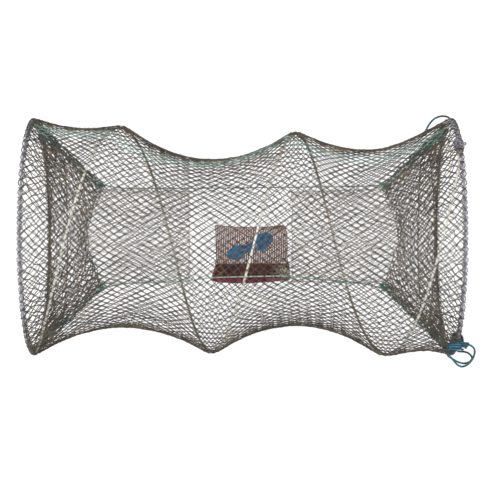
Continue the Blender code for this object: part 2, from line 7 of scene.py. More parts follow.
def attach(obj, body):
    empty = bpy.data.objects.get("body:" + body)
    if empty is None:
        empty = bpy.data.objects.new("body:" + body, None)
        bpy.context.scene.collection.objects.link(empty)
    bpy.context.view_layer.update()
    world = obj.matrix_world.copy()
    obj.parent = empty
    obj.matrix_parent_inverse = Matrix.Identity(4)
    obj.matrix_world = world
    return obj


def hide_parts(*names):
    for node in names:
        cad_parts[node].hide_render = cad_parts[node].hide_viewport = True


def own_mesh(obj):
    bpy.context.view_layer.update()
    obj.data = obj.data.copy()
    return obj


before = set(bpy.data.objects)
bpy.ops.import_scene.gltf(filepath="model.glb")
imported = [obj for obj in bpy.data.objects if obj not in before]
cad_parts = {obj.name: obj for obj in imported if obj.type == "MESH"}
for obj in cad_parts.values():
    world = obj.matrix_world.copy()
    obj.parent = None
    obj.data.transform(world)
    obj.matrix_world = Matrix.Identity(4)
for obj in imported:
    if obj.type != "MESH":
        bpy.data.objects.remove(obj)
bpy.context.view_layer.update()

# Sizes of the trap, in metres. The nets, wires and cords all follow them.
trap = {
    "length": 0.610,  # between the planes of the two end rings
    "ringRadius": 0.170,
    "axisHeight": 0.1749862,
    "wire": 0.0035,
    "gap": 0.0003,  # between pieces that touch
    "hang": 0.0128,  # how far the spring and net hang to the front, near the right ring
    "hangStart": 0.50,  # length over which that grows, from the left ring
    "hangEnd": 0.120,  # and over which it is drawn in again, at the right ring
    "travel": 0.545,  # of the right ring, when the trap folds
}


def trapPoint(x, radius, angle):
    # x from the left ring; angle in degrees round the trap: 0 front, 90 top, 180 back
    turn = math.radians(angle)
    height = trap["axisHeight"] + radius * math.sin(turn)
    return Vector((x - trap["length"] / 2, -radius * math.cos(turn), height))


def ease(share):
    share = min(max(share, 0.0), 1.0)
    return share * share * (3 - 2 * share)


def hungPoint(x, radius, angle):
    # the same round the line that the spring hangs in, a little to the front
    beside = trap["wire"] + trap["gap"]
    fromLeft, fromRight = x - beside, trap["length"] - beside - x
    hang = trap["hang"] * ease(fromLeft / trap["hangStart"]) * ease(fromRight / trap["hangEnd"])
    return trapPoint(x, radius, angle) - Vector((0, hang, 0))


# Camera, above the trap and looking straight down, as in the photograph
print("camera")
view = {"above": 2.38, "x": 0.0035, "y": -0.0123, "lens": 118.8, "sensor": 36, "near": 0.05}
cameraData = bpy.data.cameras.new("camera")
cameraData.lens = view["lens"]
cameraData.sensor_width = view["sensor"]
cameraData.clip_start = view["near"]
camera = bpy.data.objects.new("camera", cameraData)
camera.location = (view["x"], view["y"], trap["axisHeight"] + view["above"])
bpy.context.scene.collection.objects.link(camera)
bpy.context.scene.camera = camera


# Materials
print("materials")


def paint(hexColour):
    # sRGB hex to the linear colour that the shaders take
    parts = [int(hexColour[i : i + 2], 16) / 255 for i in (1, 3, 5)]
    return tuple(c / 12.92 if c <= 0.04045 else ((c + 0.055) / 1.055) ** 2.4 for c in parts) + (1.0,)


def addNode(tree, kind, settings=None, links=None):
    # settings: attributes and input values; links: input name to the output socket that feeds it
    node = tree.nodes.new(kind)
    for key, value in (settings or {}).items():
        if key in node.inputs:
            node.inputs[key].default_value = value
        else:
            setattr(node, key, value)
    for key, output in (links or {}).items():
        tree.links.new(output, node.inputs[key])
    return node


def newMaterial(name, sockets):
    made = bpy.data.materials.new(name)
    made.use_nodes = True
    shader = made.node_tree.nodes["Principled BSDF"]
    for key, value in sockets.items():
        shader.inputs[key].default_value = value
    return made, made.node_tree, shader


def setStops(ramp, stops):
    # each stop is its place from 0 to 1 and its colour
    elements = ramp.color_ramp.elements
    for place, colour in stops[1:-1]:
        elements.new(place)
    elements[0].position = stops[0][0]
    elements[len(stops) - 1].position = stops[-1][0]
    for k, (place, colour) in enumerate(stops):
        elements[k].color = paint(colour)


def mottle(tree, place, patch, colours, span=(0.35, 0.65)):
    # colour that wanders between the three given ones, in patches of so many millimetres
    noise = addNode(tree, "ShaderNodeTexNoise", {"Scale": 1000 / patch, "Detail": 3.0}, {"Vector": place})
    ramp = addNode(tree, "ShaderNodeValToRGB", links={"Fac": noise.outputs["Fac"]})
    middle = (span[0] + span[1]) / 2
    setStops(ramp, list(zip((span[0], middle, span[1]), colours)))
    return ramp.outputs["Color"]


def grain(tree, shader, place, bumps):
    # a fine relief: bumps of so many millimetres, and their depth in metres
    size = {"Scale": 1000 / bumps["size"], "Detail": bumps["detail"]}
    noise = addNode(tree, "ShaderNodeTexNoise", size, {"Vector": place})
    relief = {"Strength": bumps["strength"], "Distance": bumps["depth"]}
    bump = addNode(tree, "ShaderNodeBump", relief, {"Height": noise.outputs["Fac"]})
    tree.links.new(bump.outputs["Normal"], shader.inputs["Normal"])


# Patterns on the wire, the sleeves and the twines
# The first patch size is for the colours low in the trap: painted shade down its sides, and the colour at the
# very bottom
zincCoat = {
    "lowerPatch": 11.11,  # millimetres across a patch
    "spangle": 3.846,
    "sides": (0.016, 0.036),  # heights, in metres, between which the shade of the sides comes in
    "top": (0.20, 0.29),
    "grain": {"size": 1.111, "detail": 2.0, "strength": 0.25, "depth": 0.0002},
}
plating = {
    "patch": 2.381,
    "scuff": {"size": 1.429, "detail": 4.0, "strength": 0.4, "depth": 0.0003},
}
# real fibres are a few hundredths of a millimetre thick and would not show, so these are coarser
fibre = {"size": 0.7143, "detail": 3.0, "strength": 0.45, "depth": 0.0002}


def galvanisedWire(name, top, sides, under):
    # drawn steel wire, hot-dip galvanised, coloured by height in the trap: pale on top, a painted highlight
    # of the lamp above, darker down the trap's sides, painted shade under the nets, and another colour at the
    # very bottom
    made, tree, shader = newMaterial(name, {"Roughness": 0.42, "Metallic": 0.35})
    place = addNode(tree, "ShaderNodeTexCoord").outputs["Object"]
    height = addNode(tree, "ShaderNodeSeparateXYZ", links={"Vector": place}).outputs["Z"]
    # painted light and shade by height: the side colours are painted shade, and the top ones a painted
    # highlight
    colour = mottle(tree, place, zincCoat["lowerPatch"], under)
    for patch, colours, zone in (("lowerPatch", sides, "sides"), ("spangle", top, "top")):
        above = mottle(tree, place, zincCoat[patch], colours)
        start, full = zincCoat[zone]
        rise = addNode(tree, "ShaderNodeMapRange", {"From Min": start, "From Max": full}, {"Value": height})
        parts = {"Fac": rise.outputs["Result"], "Color1": colour, "Color2": above}
        colour = addNode(tree, "ShaderNodeMixRGB", links=parts).outputs["Color"]
    tree.links.new(colour, shader.inputs["Base Color"])
    grain(tree, shader, place, zincCoat["grain"])
    return made


def zincSleeve():
    # pressed zinc-plated steel: brighter and smoother than the wire, with crimp scuffs
    made, tree, shader = newMaterial("zinc-plated crimped sleeve", {"Roughness": 0.35, "Metallic": 1.0})
    place = addNode(tree, "ShaderNodeTexCoord").outputs["Object"]
    plated = mottle(tree, place, plating["patch"], ["#8f8f8c", "#b4b4b0", "#c9c9c6"])
    tree.links.new(plated, shader.inputs["Base Color"])
    grain(tree, shader, place, plating["scuff"])
    return made


def twistedTwine(name, colours, roughness, patch, sheen=0.25):
    # spun polymer twine: matt, with the uneven shade of its yarns, in patches of so many millimetres, and a
    # loose fibre here and there
    sockets = {"Roughness": roughness, "IOR": 1.5, "Sheen Weight": sheen, "Sheen Roughness": 0.5}
    made, tree, shader = newMaterial(name, sockets)
    place = addNode(tree, "ShaderNodeTexCoord").outputs["Object"]
    tree.links.new(mottle(tree, place, patch, colours), shader.inputs["Base Color"])
    grain(tree, shader, place, fibre)
    return made


nettingTwine = twistedTwine("twisted polyethylene netting twine, weathered",
                            ["#30281d", "#4b3f2f", "#695a43"], 0.62, 30)
throatTwine = twistedTwine("fine nylon throat twine, washed pale", ["#7b756a", "#979085", "#b1aaa0"], 0.6, 30)
seamTwine = twistedTwine("pale green nylon lacing twine", ["#71897c", "#9db5a8", "#c4d8cd"], 0.6, 12)
foldTwine = twistedTwine("green nylon fold lacing, soiled", ["#1e342a", "#34584a", "#55796a"], 0.6, 12)
soiledCord = twistedTwine("laid green polypropylene cord, soiled",
                          ["#4d5f56", "#6f8177", "#93a39a"], 0.55, 16)
knotGreen = twistedTwine("green polypropylene cord, soiled in its knots",
                         ["#1f5443", "#3a7b65", "#6bad95"], 0.55, 6)
bindTwine = twistedTwine("grey polyester binding twine", ["#6d6b78", "#93919f", "#bab8c6"], 0.6, 6)
mendTwine = twistedTwine("undyed nylon mending twine, weathered",
                         ["#77726f", "#a29d9b", "#cbc8c7"], 0.6, 10)
selvedge = twistedTwine("netting twine of the selvedges, green with algae",
                        ["#41554b", "#637e70", "#8fa99b"], 0.6, 14)
lashTwine = twistedTwine("grey polyester lashing twine", ["#454349", "#6b6971", "#9694a0"], 0.6, 14)
darkLash = twistedTwine("tarred lashing twine", ["#2e2c28", "#47443d", "#605b50"], 0.65, 14)
blueCord = twistedTwine("laid blue polypropylene cord", ["#06262f", "#0f4e63", "#237a96"], 0.38, 10)
soiledBlue = twistedTwine("blue polypropylene cord, soiled where it grips",
                          ["#0b1a24", "#1a3444", "#2f5a70"], 0.5, 10)
blueLine = twistedTwine("soft blue hauling line", ["#00648c", "#0091c4", "#08aede"], 0.6, 4, sheen=0.0)
pouchYarn = twistedTwine("knitted brown polyester mesh", ["#43180a", "#713419", "#96522e"], 0.75, 6)
# each wire's colours: on top, with a painted highlight; down the sides, with painted shade; and at the very
# bottom, which on the rings is darker still, painted shade too
wireSteel = galvanisedWire("galvanised steel wire", ["#cfccc0", "#ebe8dd", "#f8f5ec"],
                           ["#7b7567", "#98917f", "#b0aa9a"], ["#b4aea0", "#ccc7ba", "#dfdbd0"])
ringSteel = galvanisedWire("galvanised ring wire, chalky", ["#86848f", "#a7a5b1", "#c6c4cf"],
                           ["#57544a", "#757163", "#8d8979"], ["#3f3b32", "#57534a", "#6d695d"])
sleeveZinc = zincSleeve()

# The front cord's colour from throat to throat: bleached in the middle, still green at its ends
bleach = {
    "reach": 0.21,  # of the colours, on either side of the middle
    "stops": [(0.0, "#2f7d66"), (0.10, "#7fa696"), (0.42, "#b4c9be"), (0.50, "#cedad2"),
              (0.62, "#c3d5cb"), (0.72, "#79b3a0"), (0.9, "#3c8a72"), (1.0, "#246a54")],
}


def bleachedCord():
    # laid polypropylene that the sun has chalked: matt and pale, with its dye left where it was covered
    sockets = {"Roughness": 0.5, "IOR": 1.5, "Sheen Weight": 0.25}
    made, tree, shader = newMaterial("laid green polypropylene cord, bleached", sockets)
    place = addNode(tree, "ShaderNodeTexCoord").outputs["Object"]
    along = addNode(tree, "ShaderNodeSeparateXYZ", links={"Vector": place}).outputs["X"]
    ends = {"From Min": -bleach["reach"], "From Max": bleach["reach"]}
    run = addNode(tree, "ShaderNodeMapRange", ends, {"Value": along})
    ramp = addNode(tree, "ShaderNodeValToRGB", links={"Fac": run.outputs["Result"]})
    setStops(ramp, bleach["stops"])
    tree.links.new(ramp.outputs["Color"], shader.inputs["Base Color"])
    grain(tree, shader, place, fibre)
    return made


greenCord = bleachedCord()

# Cloth of the pouch's hem, faded towards its right end
tape = {
    "patch": 8.333,  # millimetres, of the dye
    "wornPatch": 2.381,
    "wornColours": ["#2b221b", "#6c6153", "#c6beb0"],
    "wornSpan": (0.42, 0.60),
    "wornFrom": 0.040,  # where it starts to fade, in metres along X
    "wornTo": 0.060,
    "worn": 0.85,  # how far it fades
    "rib": 3.142,  # millimetres between ribs: the real ones, at 0.5 mm, would not show
    "ribRelief": {"Strength": 0.5, "Distance": 0.0004},
}


def hemCloth(name, colours):
    # woven cotton tape, dyed: matt with a fine rib and soft creases
    sockets = {"Roughness": 0.85, "IOR": 1.5, "Sheen Weight": 0.4, "Sheen Roughness": 0.4}
    made, tree, shader = newMaterial(name, sockets)
    place = addNode(tree, "ShaderNodeTexCoord").outputs["Object"]
    right = addNode(tree, "ShaderNodeSeparateXYZ", links={"Vector": place}).outputs["X"]
    ends = {"From Min": tape["wornFrom"], "From Max": tape["wornTo"], "To Max": tape["worn"]}
    worn = addNode(tree, "ShaderNodeMapRange", ends, {"Value": right})
    dyed = mottle(tree, place, tape["patch"], colours)
    faded = mottle(tree, place, tape["wornPatch"], tape["wornColours"], span=tape["wornSpan"])
    parts = {"Fac": worn.outputs["Result"], "Color1": dyed, "Color2": faded}
    mixed = addNode(tree, "ShaderNodeMixRGB", links=parts)
    tree.links.new(mixed.outputs["Color"], shader.inputs["Base Color"])
    # at a scale of 1 the bands of this texture are pi / 10 apart
    bands = {"Scale": 1000 * math.pi / 10 / tape["rib"], "Distortion": 0.6, "bands_direction": "X"}
    rib = addNode(tree, "ShaderNodeTexWave", bands, {"Vector": place})
    bump = addNode(tree, "ShaderNodeBump", tape["ribRelief"], {"Height": rib.outputs["Fac"]})
    tree.links.new(bump.outputs["Normal"], shader.inputs["Normal"])
    return made


# the maroon tape is partly its dye and partly painted shade: it is made very dark for the shaded mouth of the
# pouch
shadedMaroonTape = hemCloth("maroon cotton tape, partly painted shade", ["#24100d", "#3a1a15", "#50271f"])
redTape = hemCloth("crimson cotton lining", ["#5c1a2b", "#7d2840", "#984356"])


# Tools for cord and net

def smoothRoute(points, steps):
    # a curve through all the points
    ends = [2 * points[0] - points[1]] + points + [2 * points[-1] - points[-2]]
    route = []
    for before, start, stop, after in zip(ends, ends[1:], ends[2:], ends[3:]):
        for step in range(steps):
            t = step / steps
            point = 2 * start + (stop - before) * t
            point += (2 * before - 5 * start + 4 * stop - after) * t * t
            point += (3 * start - before - 3 * stop + after) * t * t * t
            route.append(0.5 * point)
    return route + [points[-1]]


def evenRoute(points, spacing):
    # the same line, read at even steps
    run = [0.0]
    for a, b in zip(points, points[1:]):
        run.append(run[-1] + (b - a).length)
    count = max(2, round(run[-1] / spacing) + 1)
    route, k = [], 0
    for n in range(count):
        way = run[-1] * n / (count - 1)
        while k < len(points) - 2 and run[k + 1] < way:
            k += 1
        span = run[k + 1] - run[k]
        route.append(points[k].lerp(points[k + 1], (way - run[k]) / span if span > 0 else 0.0))
    return route


def makeObject(name, verts, faces, materials, slots=None):
    mesh = bpy.data.meshes.new(name)
    mesh.from_pydata(verts, [], faces)
    for item in materials:
        mesh.materials.append(item)
    if slots is not None:
        mesh.polygons.foreach_set("material_index", slots)
    mesh.polygons.foreach_set("use_smooth", [True] * len(mesh.polygons))
    mesh.update()
    made = bpy.data.objects.new(name, mesh)
    bpy.context.scene.collection.objects.link(made)
    return made


class Shape:
    # gathers several cords into one mesh
    def __init__(self):
        self.verts, self.faces, self.slots = [], [], []

    def cord(self, points, diameter, lay=0.0, yarns=3, sides=9, groove=0.16, spacing=None, slot=0):
        # a laid cord: its section has one lobe for each yarn, and turns once in each lay
        route = evenRoute(points, spacing or (lay / 8 if lay else diameter))
        along = (route[1] - route[0]).normalized()
        across = along.orthogonal().normalized()
        way, first, count = 0.0, len(self.verts), len(route)
        for n, point in enumerate(route):
            ahead = (route[min(n + 1, count - 1)] - route[max(n - 1, 0)]).normalized()
            turn = along.rotation_difference(ahead)
            across, along = (turn @ across).normalized(), ahead
            side = along.cross(across)
            if n:
                way += (point - route[n - 1]).length
            twist = 2 * math.pi * way / lay if lay else 0.0
            for k in range(sides):
                angle = 2 * math.pi * k / sides
                reach = diameter / 2 * (1 - groove * (0.5 - 0.5 * math.cos(yarns * angle)) if lay else 1)
                angle += twist
                self.verts.append(point + across * reach * math.cos(angle) + side * reach * math.sin(angle))
        for n in range(count - 1):
            a, b = first + n * sides, first + (n + 1) * sides
            self.faces += [(a + k, a + (k + 1) % sides, b + (k + 1) % sides, b + k) for k in range(sides)]
        self.faces.append(tuple(first + k for k in reversed(range(sides))))
        self.faces.append(tuple(first + (count - 1) * sides + k for k in range(sides)))
        self.slots += [slot] * (len(self.faces) - len(self.slots))

    def make(self, name, materials):
        return makeObject(name, [tuple(v) for v in self.verts], self.faces, materials, self.slots)


def strandMesh(name, starts, ends, thickness, materials, kinds=None):
    # straight strands of twine between knots, all in one mesh: four sides are enough at under 2 mm
    sides = 4
    starts, ends = np.array(starts), np.array(ends)
    along = ends - starts
    along /= np.linalg.norm(along, axis=1, keepdims=True)
    middle = (starts + ends) / 2
    height = middle[:, 2] - trap["axisHeight"]
    outward = np.stack([np.zeros(len(middle)), middle[:, 1], height], 1) + 1e-9
    across = np.cross(along, outward)
    across /= np.linalg.norm(across, axis=1, keepdims=True)
    side = np.cross(across, along)
    turns = 2 * math.pi * (np.arange(sides) + 0.5) / sides
    cosines, sines = np.cos(turns)[None, :, None], np.sin(turns)[None, :, None]
    ring = (cosines * across[:, None] + sines * side[:, None]) * thickness / 2
    verts = np.concatenate([starts[:, None] + ring, ends[:, None] + ring], 1).reshape(-1, 3)
    base = np.arange(len(starts))[:, None] * 2 * sides
    corner = base + np.arange(sides)[None]
    after = base + (np.arange(sides)[None] + 1) % sides
    quads = np.stack([corner, after, after + sides, corner + sides], 2).reshape(-1, 4)
    slots = None if kinds is None else np.repeat(np.array(kinds), sides).tolist()
    return makeObject(name, verts.tolist(), quads.tolist(), materials, slots)


def knotMesh(name, places, size, materials, kinds=None):
    # a small hitch where strands meet, a little longer along the trap
    corners = [(1.3, 0, 0), (-1.3, 0, 0), (0, 1, 0), (0, -1, 0), (0, 0, 1), (0, 0, -1)]
    sides = [(0, 2, 4), (2, 1, 4), (1, 3, 4), (3, 0, 4), (2, 0, 5), (1, 2, 5), (3, 1, 5), (0, 3, 5)]
    shape = np.array(corners) * size / 2
    places = np.array(places)
    verts = (places[:, None] + shape[None]).reshape(-1, 3)
    faces = (np.arange(len(places))[:, None, None] * len(corners) + np.array(sides)[None]).reshape(-1, 3)
    slots = None if kinds is None else np.repeat(np.array(kinds), len(sides)).tolist()
    return makeObject(name, verts.tolist(), faces.tolist(), materials, slots)


def netStrands(rows, meshes, firstOdd=0):
    # pairs of knots that a strand joins, row by row; every other row is half a mesh round
    pairs = []
    for row in range(rows - 1):
        odd = (row + firstOdd) % 2
        for mesh in range(meshes):
            knot, below = row * meshes + mesh, (row + 1) * meshes
            pairs += [(knot, below + mesh), (knot, below + (mesh + (1 if odd else -1)) % meshes)]
    return pairs


# how far each knot strays from its place: the nets draw from it one after another
chance = np.random.RandomState(11)


def follow(piece, *nodes):
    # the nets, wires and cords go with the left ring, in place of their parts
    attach(piece, "left_end")
    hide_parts(*nodes)
    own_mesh(piece)


# Blue tie and its loops on the right ring
print("blue tie")
tie = {
    "diameter": 0.0030,
    "lay": 0.009,
    "sides": 12,
    "turns": 3,  # round the ring
    "perTurn": 30,
    "cadPerTurn": 10,  # the part's turns have this many corners, and the drawn ones go round them
    "angle": 27.9,  # degrees round the ring, from the front
    "reach": (0.0101, 0.0121, 0.0077),  # outward, inward and along the trap, from the ring wire
    "droop": 0.6,  # how far the loops sink for each metre out
    "loopSwell": 1.06,  # the cord is thicker and smoother where nothing pulls it
    "loopGroove": 0.12,
}
tiePitch = math.degrees((tie["diameter"] + 2 * trap["gap"]) / (trap["ringRadius"] - tie["reach"][1]))
tieFit = 1 / math.cos(math.pi / tie["cadPerTurn"])


def hitchPoint(along, out, turn):
    # along the trap from the ring, out from the face of the hitch, and so many turns up from its middle
    outward, inward = tie["reach"][:2]
    face = trap["ringRadius"] + outward + (outward + inward) / 2 * (tieFit - 1) + tie["diameter"] / 2
    face += 2 * trap["gap"]
    droop = Vector((0, 0, tie["droop"] * max(out, 0)))
    return trapPoint(trap["length"] + along, face + out, tie["angle"] + tiePitch * turn) - droop


# The loops as they are seen from above, each place as hitchPoint takes it
longLoop = smoothRoute([hitchPoint(*place) for place in (
    (0.0090, -0.0070, 1.25), (0.0142, -0.0066, 1.35), (0.0195, -0.0040, 1.35), (0.0232, 0.0005, 1.25),
    (0.0238, 0.0065, 1.20), (0.0215, 0.0160, 1.15), (0.0150, 0.0250, 1.10), (0.0072, 0.0290, 1.00),
    (0.0000, 0.0260, 0.95), (-0.0062, 0.0180, 0.90), (-0.0125, 0.0100, 0.85), (-0.0145, 0.0050, 0.80),
    (-0.0132, 0.0000, 0.75), (-0.0094, -0.0045, 0.75))], 3)
shortLoop = smoothRoute([hitchPoint(*place) for place in (
    (0.0000, 0.0008, -0.55), (0.0045, 0.0011, -0.60), (0.0095, 0.0013, -0.65), (0.0150, 0.0030, -0.70),
    (0.0196, 0.0070, -0.75), (0.0214, 0.0115, -0.80), (0.0190, 0.0162, -0.90), (0.0135, 0.0190, -0.95),
    (0.0072, 0.0190, -1.00), (-0.0002, 0.0161, -1.10), (-0.0064, 0.0117, -1.15), (-0.0120, 0.0074, -1.20),
    (-0.0140, 0.0035, -1.25), (-0.0130, -0.0005, -1.25), (-0.0102, -0.0040, -1.25))], 3)
# Strands of the knot: how far out each lies, where it starts and ends along the trap, and its height in turns
knotStrands = [(-0.0072, -0.0105, 0.0120, 2.1), (-0.0041, -0.0130, 0.0135, 2.35),
               (-0.0009, -0.0140, 0.0110, 2.3), (0.0023, -0.0120, 0.0065, 1.9)]
# Cut ends: height in turns, how far out, and where the tip is
cutEnds = [(1.5, -0.0084, 0.0162), (1.3, -0.0046, 0.0142)]


def looseLoop(name, route, node):
    shape = Shape()
    shape.cord(route, tie["diameter"] * tie["loopSwell"], lay=tie["lay"], sides=tie["sides"],
               groove=tie["loopGroove"])
    piece = shape.make(name, [blueCord])
    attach(piece, "right_end")
    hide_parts(node)
    return piece


def knotStrand(out, left, right, rise):
    # over the turns and tucked under at both ends
    middle = (left + right) / 2
    return [hitchPoint(*place) for place in (
        (left, out - 0.0012, 0.8), (left - 0.0005, out - 0.0006, 1.7), (left * 0.6, out, rise),
        (middle, out + 0.0006, rise + 0.15), (right * 0.6, out, rise), (right + 0.0005, out, 1.7),
        (right, out - 0.0008, 0.8))]


hitch = Shape()
outward, inward, width = tie["reach"]
hitchStart = tie["angle"] - tiePitch * tie["turns"] / 2
hitchLine = []
for step in range(tie["turns"] * tie["perTurn"] + 1):
    turn = 2 * math.pi * step / tie["perTurn"]
    radius = trap["ringRadius"] + (outward - inward) / 2 + (outward + inward) / 2 * tieFit * math.cos(turn)
    angle = hitchStart + tiePitch * step / tie["perTurn"]
    hitchLine.append(trapPoint(trap["length"] - width * tieFit * math.sin(turn), radius, angle))
hitch.cord(hitchLine, tie["diameter"], lay=tie["lay"], sides=tie["sides"], slot=1)
for strand in knotStrands:
    hitch.cord(smoothRoute(knotStrand(*strand), 5), tie["diameter"], lay=tie["lay"], sides=tie["sides"])
for turn, out, tip in cutEnds:
    stub = [hitchPoint(-0.002, out, turn + 0.5), hitchPoint(0.006, out, turn + 0.3),
            hitchPoint(tip, out + 0.0006, turn)]
    hitch.cord(smoothRoute(stub, 6), tie["diameter"], lay=tie["lay"], sides=tie["sides"])
tieHitch = hitch.make("tie_hitch_cord", [blueCord, soiledBlue])
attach(tieHitch, "right_end")
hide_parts("tie_hitch")

tieLong = looseLoop("tie_loop_long_cord", longLoop, "tie_loop_long")
tieShort = looseLoop("tie_loop_short_cord", shortLoop, "tie_loop_short")

# Loop at the back of the right ring, from the rim of the net to its next knots
topLoop = smoothRoute([hungPoint(x, radius, 180) for x, radius in (
    (0.6098, 0.1738), (0.6060, 0.1764), (0.598, 0.1775), (0.588, 0.1748), (0.580, 0.1674),
    (0.5745, 0.1578), (0.5720, 0.1510))], 4)
tieTop = looseLoop("top_loop_cord", topLoop, "top_loop")


# End rings, sleeves and spring
print("rings and spring")
for side in ("left", "right"):
    for node, surface in ((f"ring_{side}", ringSteel), (f"ferrule_{side}", sleeveZinc)):
        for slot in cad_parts[node].material_slots:
            slot.material = surface

spring = {
    "radius": 0.162,
    "start": 3.75,  # degrees round the trap
    "end": 851.25,
    "beside": 0.0038,  # from ring to spring, where they lie side by side in a sleeve
    "flare": 0.030,  # length over which the spring widens to the size of the rings
    "ease": 0.001,
    "segment": 7.5,  # degrees between its points
}
coilPitch = trap["length"] * 360 / (spring["end"] - spring["start"])


def coilPlace(angle):
    # it runs beside the ring in each sleeve, and climbs evenly between them
    straight = coilPitch * (angle - spring["start"]) / 360
    left = (straight + spring["beside"] + math.hypot(straight - spring["beside"], spring["ease"])) / 2
    far = trap["length"] - spring["beside"]
    return (left + far - math.hypot(left - far, spring["ease"])) / 2


def coilRadius(x):
    near = min(x, trap["length"] - x) - spring["beside"]
    return trap["ringRadius"] + (spring["radius"] - trap["ringRadius"]) * ease(near / spring["flare"])


springLine = []
for step in range(round((spring["end"] - spring["start"]) / spring["segment"]) + 3):
    angle = spring["start"] + spring["segment"] * (step - 1)
    springLine.append(hungPoint(coilPlace(angle), coilRadius(coilPlace(angle)), angle))
wire = Shape()
wire.cord(smoothRoute(springLine, 3), trap["wire"], sides=12, spacing=2 * trap["wire"])
follow(wire.make("spring_wire_drawn", [wireSteel]), "spring_wire")


# Lashing: twine wound both ways round each ring and the edges of the nets
print("lashings")
lashing = {
    "twine": 0.0016,
    "lay": 0.006,
    "spacing": 0.0013,
    "turns": 74,
    "perTurn": 16,
    "outward": 0.0040,  # from the ring wire to the middle of the twine
    "inward": 0.0046,
    "width": 0.0034,
    "slack": ((0.00035, 0.37), (0.0003, 0.083)),  # a quick swing and a slow one: size, and turn at each point
}


def makeLashing(side):
    ringX, inwards = (0.0, 1) if side == "left" else (trap["length"], -1)
    (quick, quickTurn), (slow, slowTurn) = lashing["slack"]
    shape = Shape()
    pitch = 360 / lashing["turns"]
    for hand, surface in ((1, 0), (-1, 1)):
        points = []
        for step in range(lashing["turns"] * lashing["perTurn"] + 1):
            turn = 2 * math.pi * step / lashing["perTurn"]
            slack = quick * math.sin(step * quickTurn) + slow * math.sin(step * slowTurn + hand)
            reach = (lashing["outward"] + lashing["inward"]) / 2 + slack
            shift = (lashing["outward"] - lashing["inward"]) / 2
            x = ringX + inwards * (lashing["width"] + slack) * math.sin(turn * hand)
            radius = trap["ringRadius"] + shift + (reach - abs(slack)) * math.cos(turn)
            points.append(trapPoint(x, radius, pitch * step / lashing["perTurn"]))
        shape.cord(points, lashing["twine"], lay=lashing["lay"], sides=6, yarns=2, spacing=lashing["spacing"],
                   slot=surface)
    piece = shape.make(f"lashing_{side}_twine", [darkLash, lashTwine])
    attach(piece, f"{side}_end")
    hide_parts(f"lashing_{side}")


for side in ("left", "right"):
    makeLashing(side)

# Bindings on the right ring: the net gathered under the blue tie, and a repair with a knot on it
gather = {"angle": tie["angle"], "spread": 7.5, "reach": 0.0062, "twine": 0.0019, "turns": 7}
repair = {"angle": 139.0, "spread": 7.5, "reach": 0.0058, "twine": 0.0021, "turns": 6}
binding = {
    "perTurn": 12,
    "inwards": 0.0015,  # from the ring's plane to the middle of what is bound
    "wide": 1.1,  # along the trap, for each length outwards
    "ends": 0.75,  # of the size in its middle
    "uneven": (0.08, 0.9),  # share of its size, and turn at each point
}
repairKnot = {
    "along": 0.0030,  # from the right ring
    "out": 0.0055,
    "angle": 137.0,
    "size": 0.0016,
    "lay": 0.007,
    "spacing": 0.0009,
    "points": 48,
}


def bindRing(size):
    # twine wound both ways round the right ring and what lies beside it, fullest in its middle
    shape = Shape()
    uneven, unevenTurn = binding["uneven"]
    last = size["turns"] * binding["perTurn"]
    for hand, slot in ((1, 0), (-1, 1)):
        points = []
        for n in range(last + 1):
            turn = 2 * math.pi * n / binding["perTurn"]
            swell = binding["ends"] + (1 - binding["ends"]) * math.sin(math.pi * n / last) ** 0.5
            reach = size["reach"] * swell * (1 + uneven * math.sin(n * unevenTurn + hand))
            x = trap["length"] - binding["inwards"] + binding["wide"] * reach * math.sin(turn * hand)
            angle = size["angle"] + size["spread"] * (n / last - 0.5)
            points.append(trapPoint(x, trap["ringRadius"] + reach * math.cos(turn), angle))
        twine = size["twine"]
        shape.cord(points, twine, lay=twine * 4, sides=7, yarns=2, spacing=twine * 0.8, slot=slot)
    return shape


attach(bindRing(gather).make("tie_gathered_net", [darkLash, nettingTwine]), "right_end")
shape = bindRing(repair)
middle = trapPoint(trap["length"] + repairKnot["along"], trap["ringRadius"] + repairKnot["out"],
                   repairKnot["angle"])
loop = []
for n in range(repairKnot["points"] + 1):
    t = 2 * math.pi * n / repairKnot["points"]
    bend = Vector((math.sin(t) + 2 * math.sin(2 * t), 0.7 * math.cos(t) - 1.4 * math.cos(2 * t),
                   math.cos(t) - 1.6 * math.sin(3 * t)))
    loop.append(middle + bend * repairKnot["size"])
shape.cord(loop, repair["twine"], lay=repairKnot["lay"], sides=8, spacing=repairKnot["spacing"])
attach(shape.make("ring_right_binding", [bindTwine, darkLash]), "right_end")


# Outer net
print("outer net")
net = {
    "meshes": 80,  # round the trap
    "bar": 0.0095,  # from knot to knot
    "twine": 0.00115,
    "knot": 0.0023,
    "waist": 0.0447,  # how far the net draws in over a full pitch of the spring
    "rimWaist": 0.85,  # share of that in a span that starts or ends at a ring
    "rim": 0.0031,  # from the ring wire to the net
    "overWire": 0.0027,
    "rest": 0.0030,  # how far it lies on the wire on either side
    "seam": 157.5,  # degrees round the trap
    "selvedges": (147.0, 159.5),
    "mend": (138, 173),
    "mendLength": 0.013,  # from the right ring
    "loose": (0.0005, 0.10, 0.0003),  # how far knots stray along, in degrees round, and outwards
    "drift": 0.0016,  # how far whole bands of knots are shifted along, in waves round and along the trap
    "driftRound": 3,
    "driftAlong": 21,
    "steps": 240,  # in which the trap's length is measured
    "probe": 0.002,  # how far to either side the slope of the net is read
}


def ridges(angle):
    # where the spring holds the net up, from left to right
    start = coilPitch * ((angle - spring["start"]) / 360 % 1)
    places = [start + coilPitch * n for n in range(3)]
    return [x for x in places if 3 * spring["beside"] < x < trap["length"] - 3 * spring["beside"]]


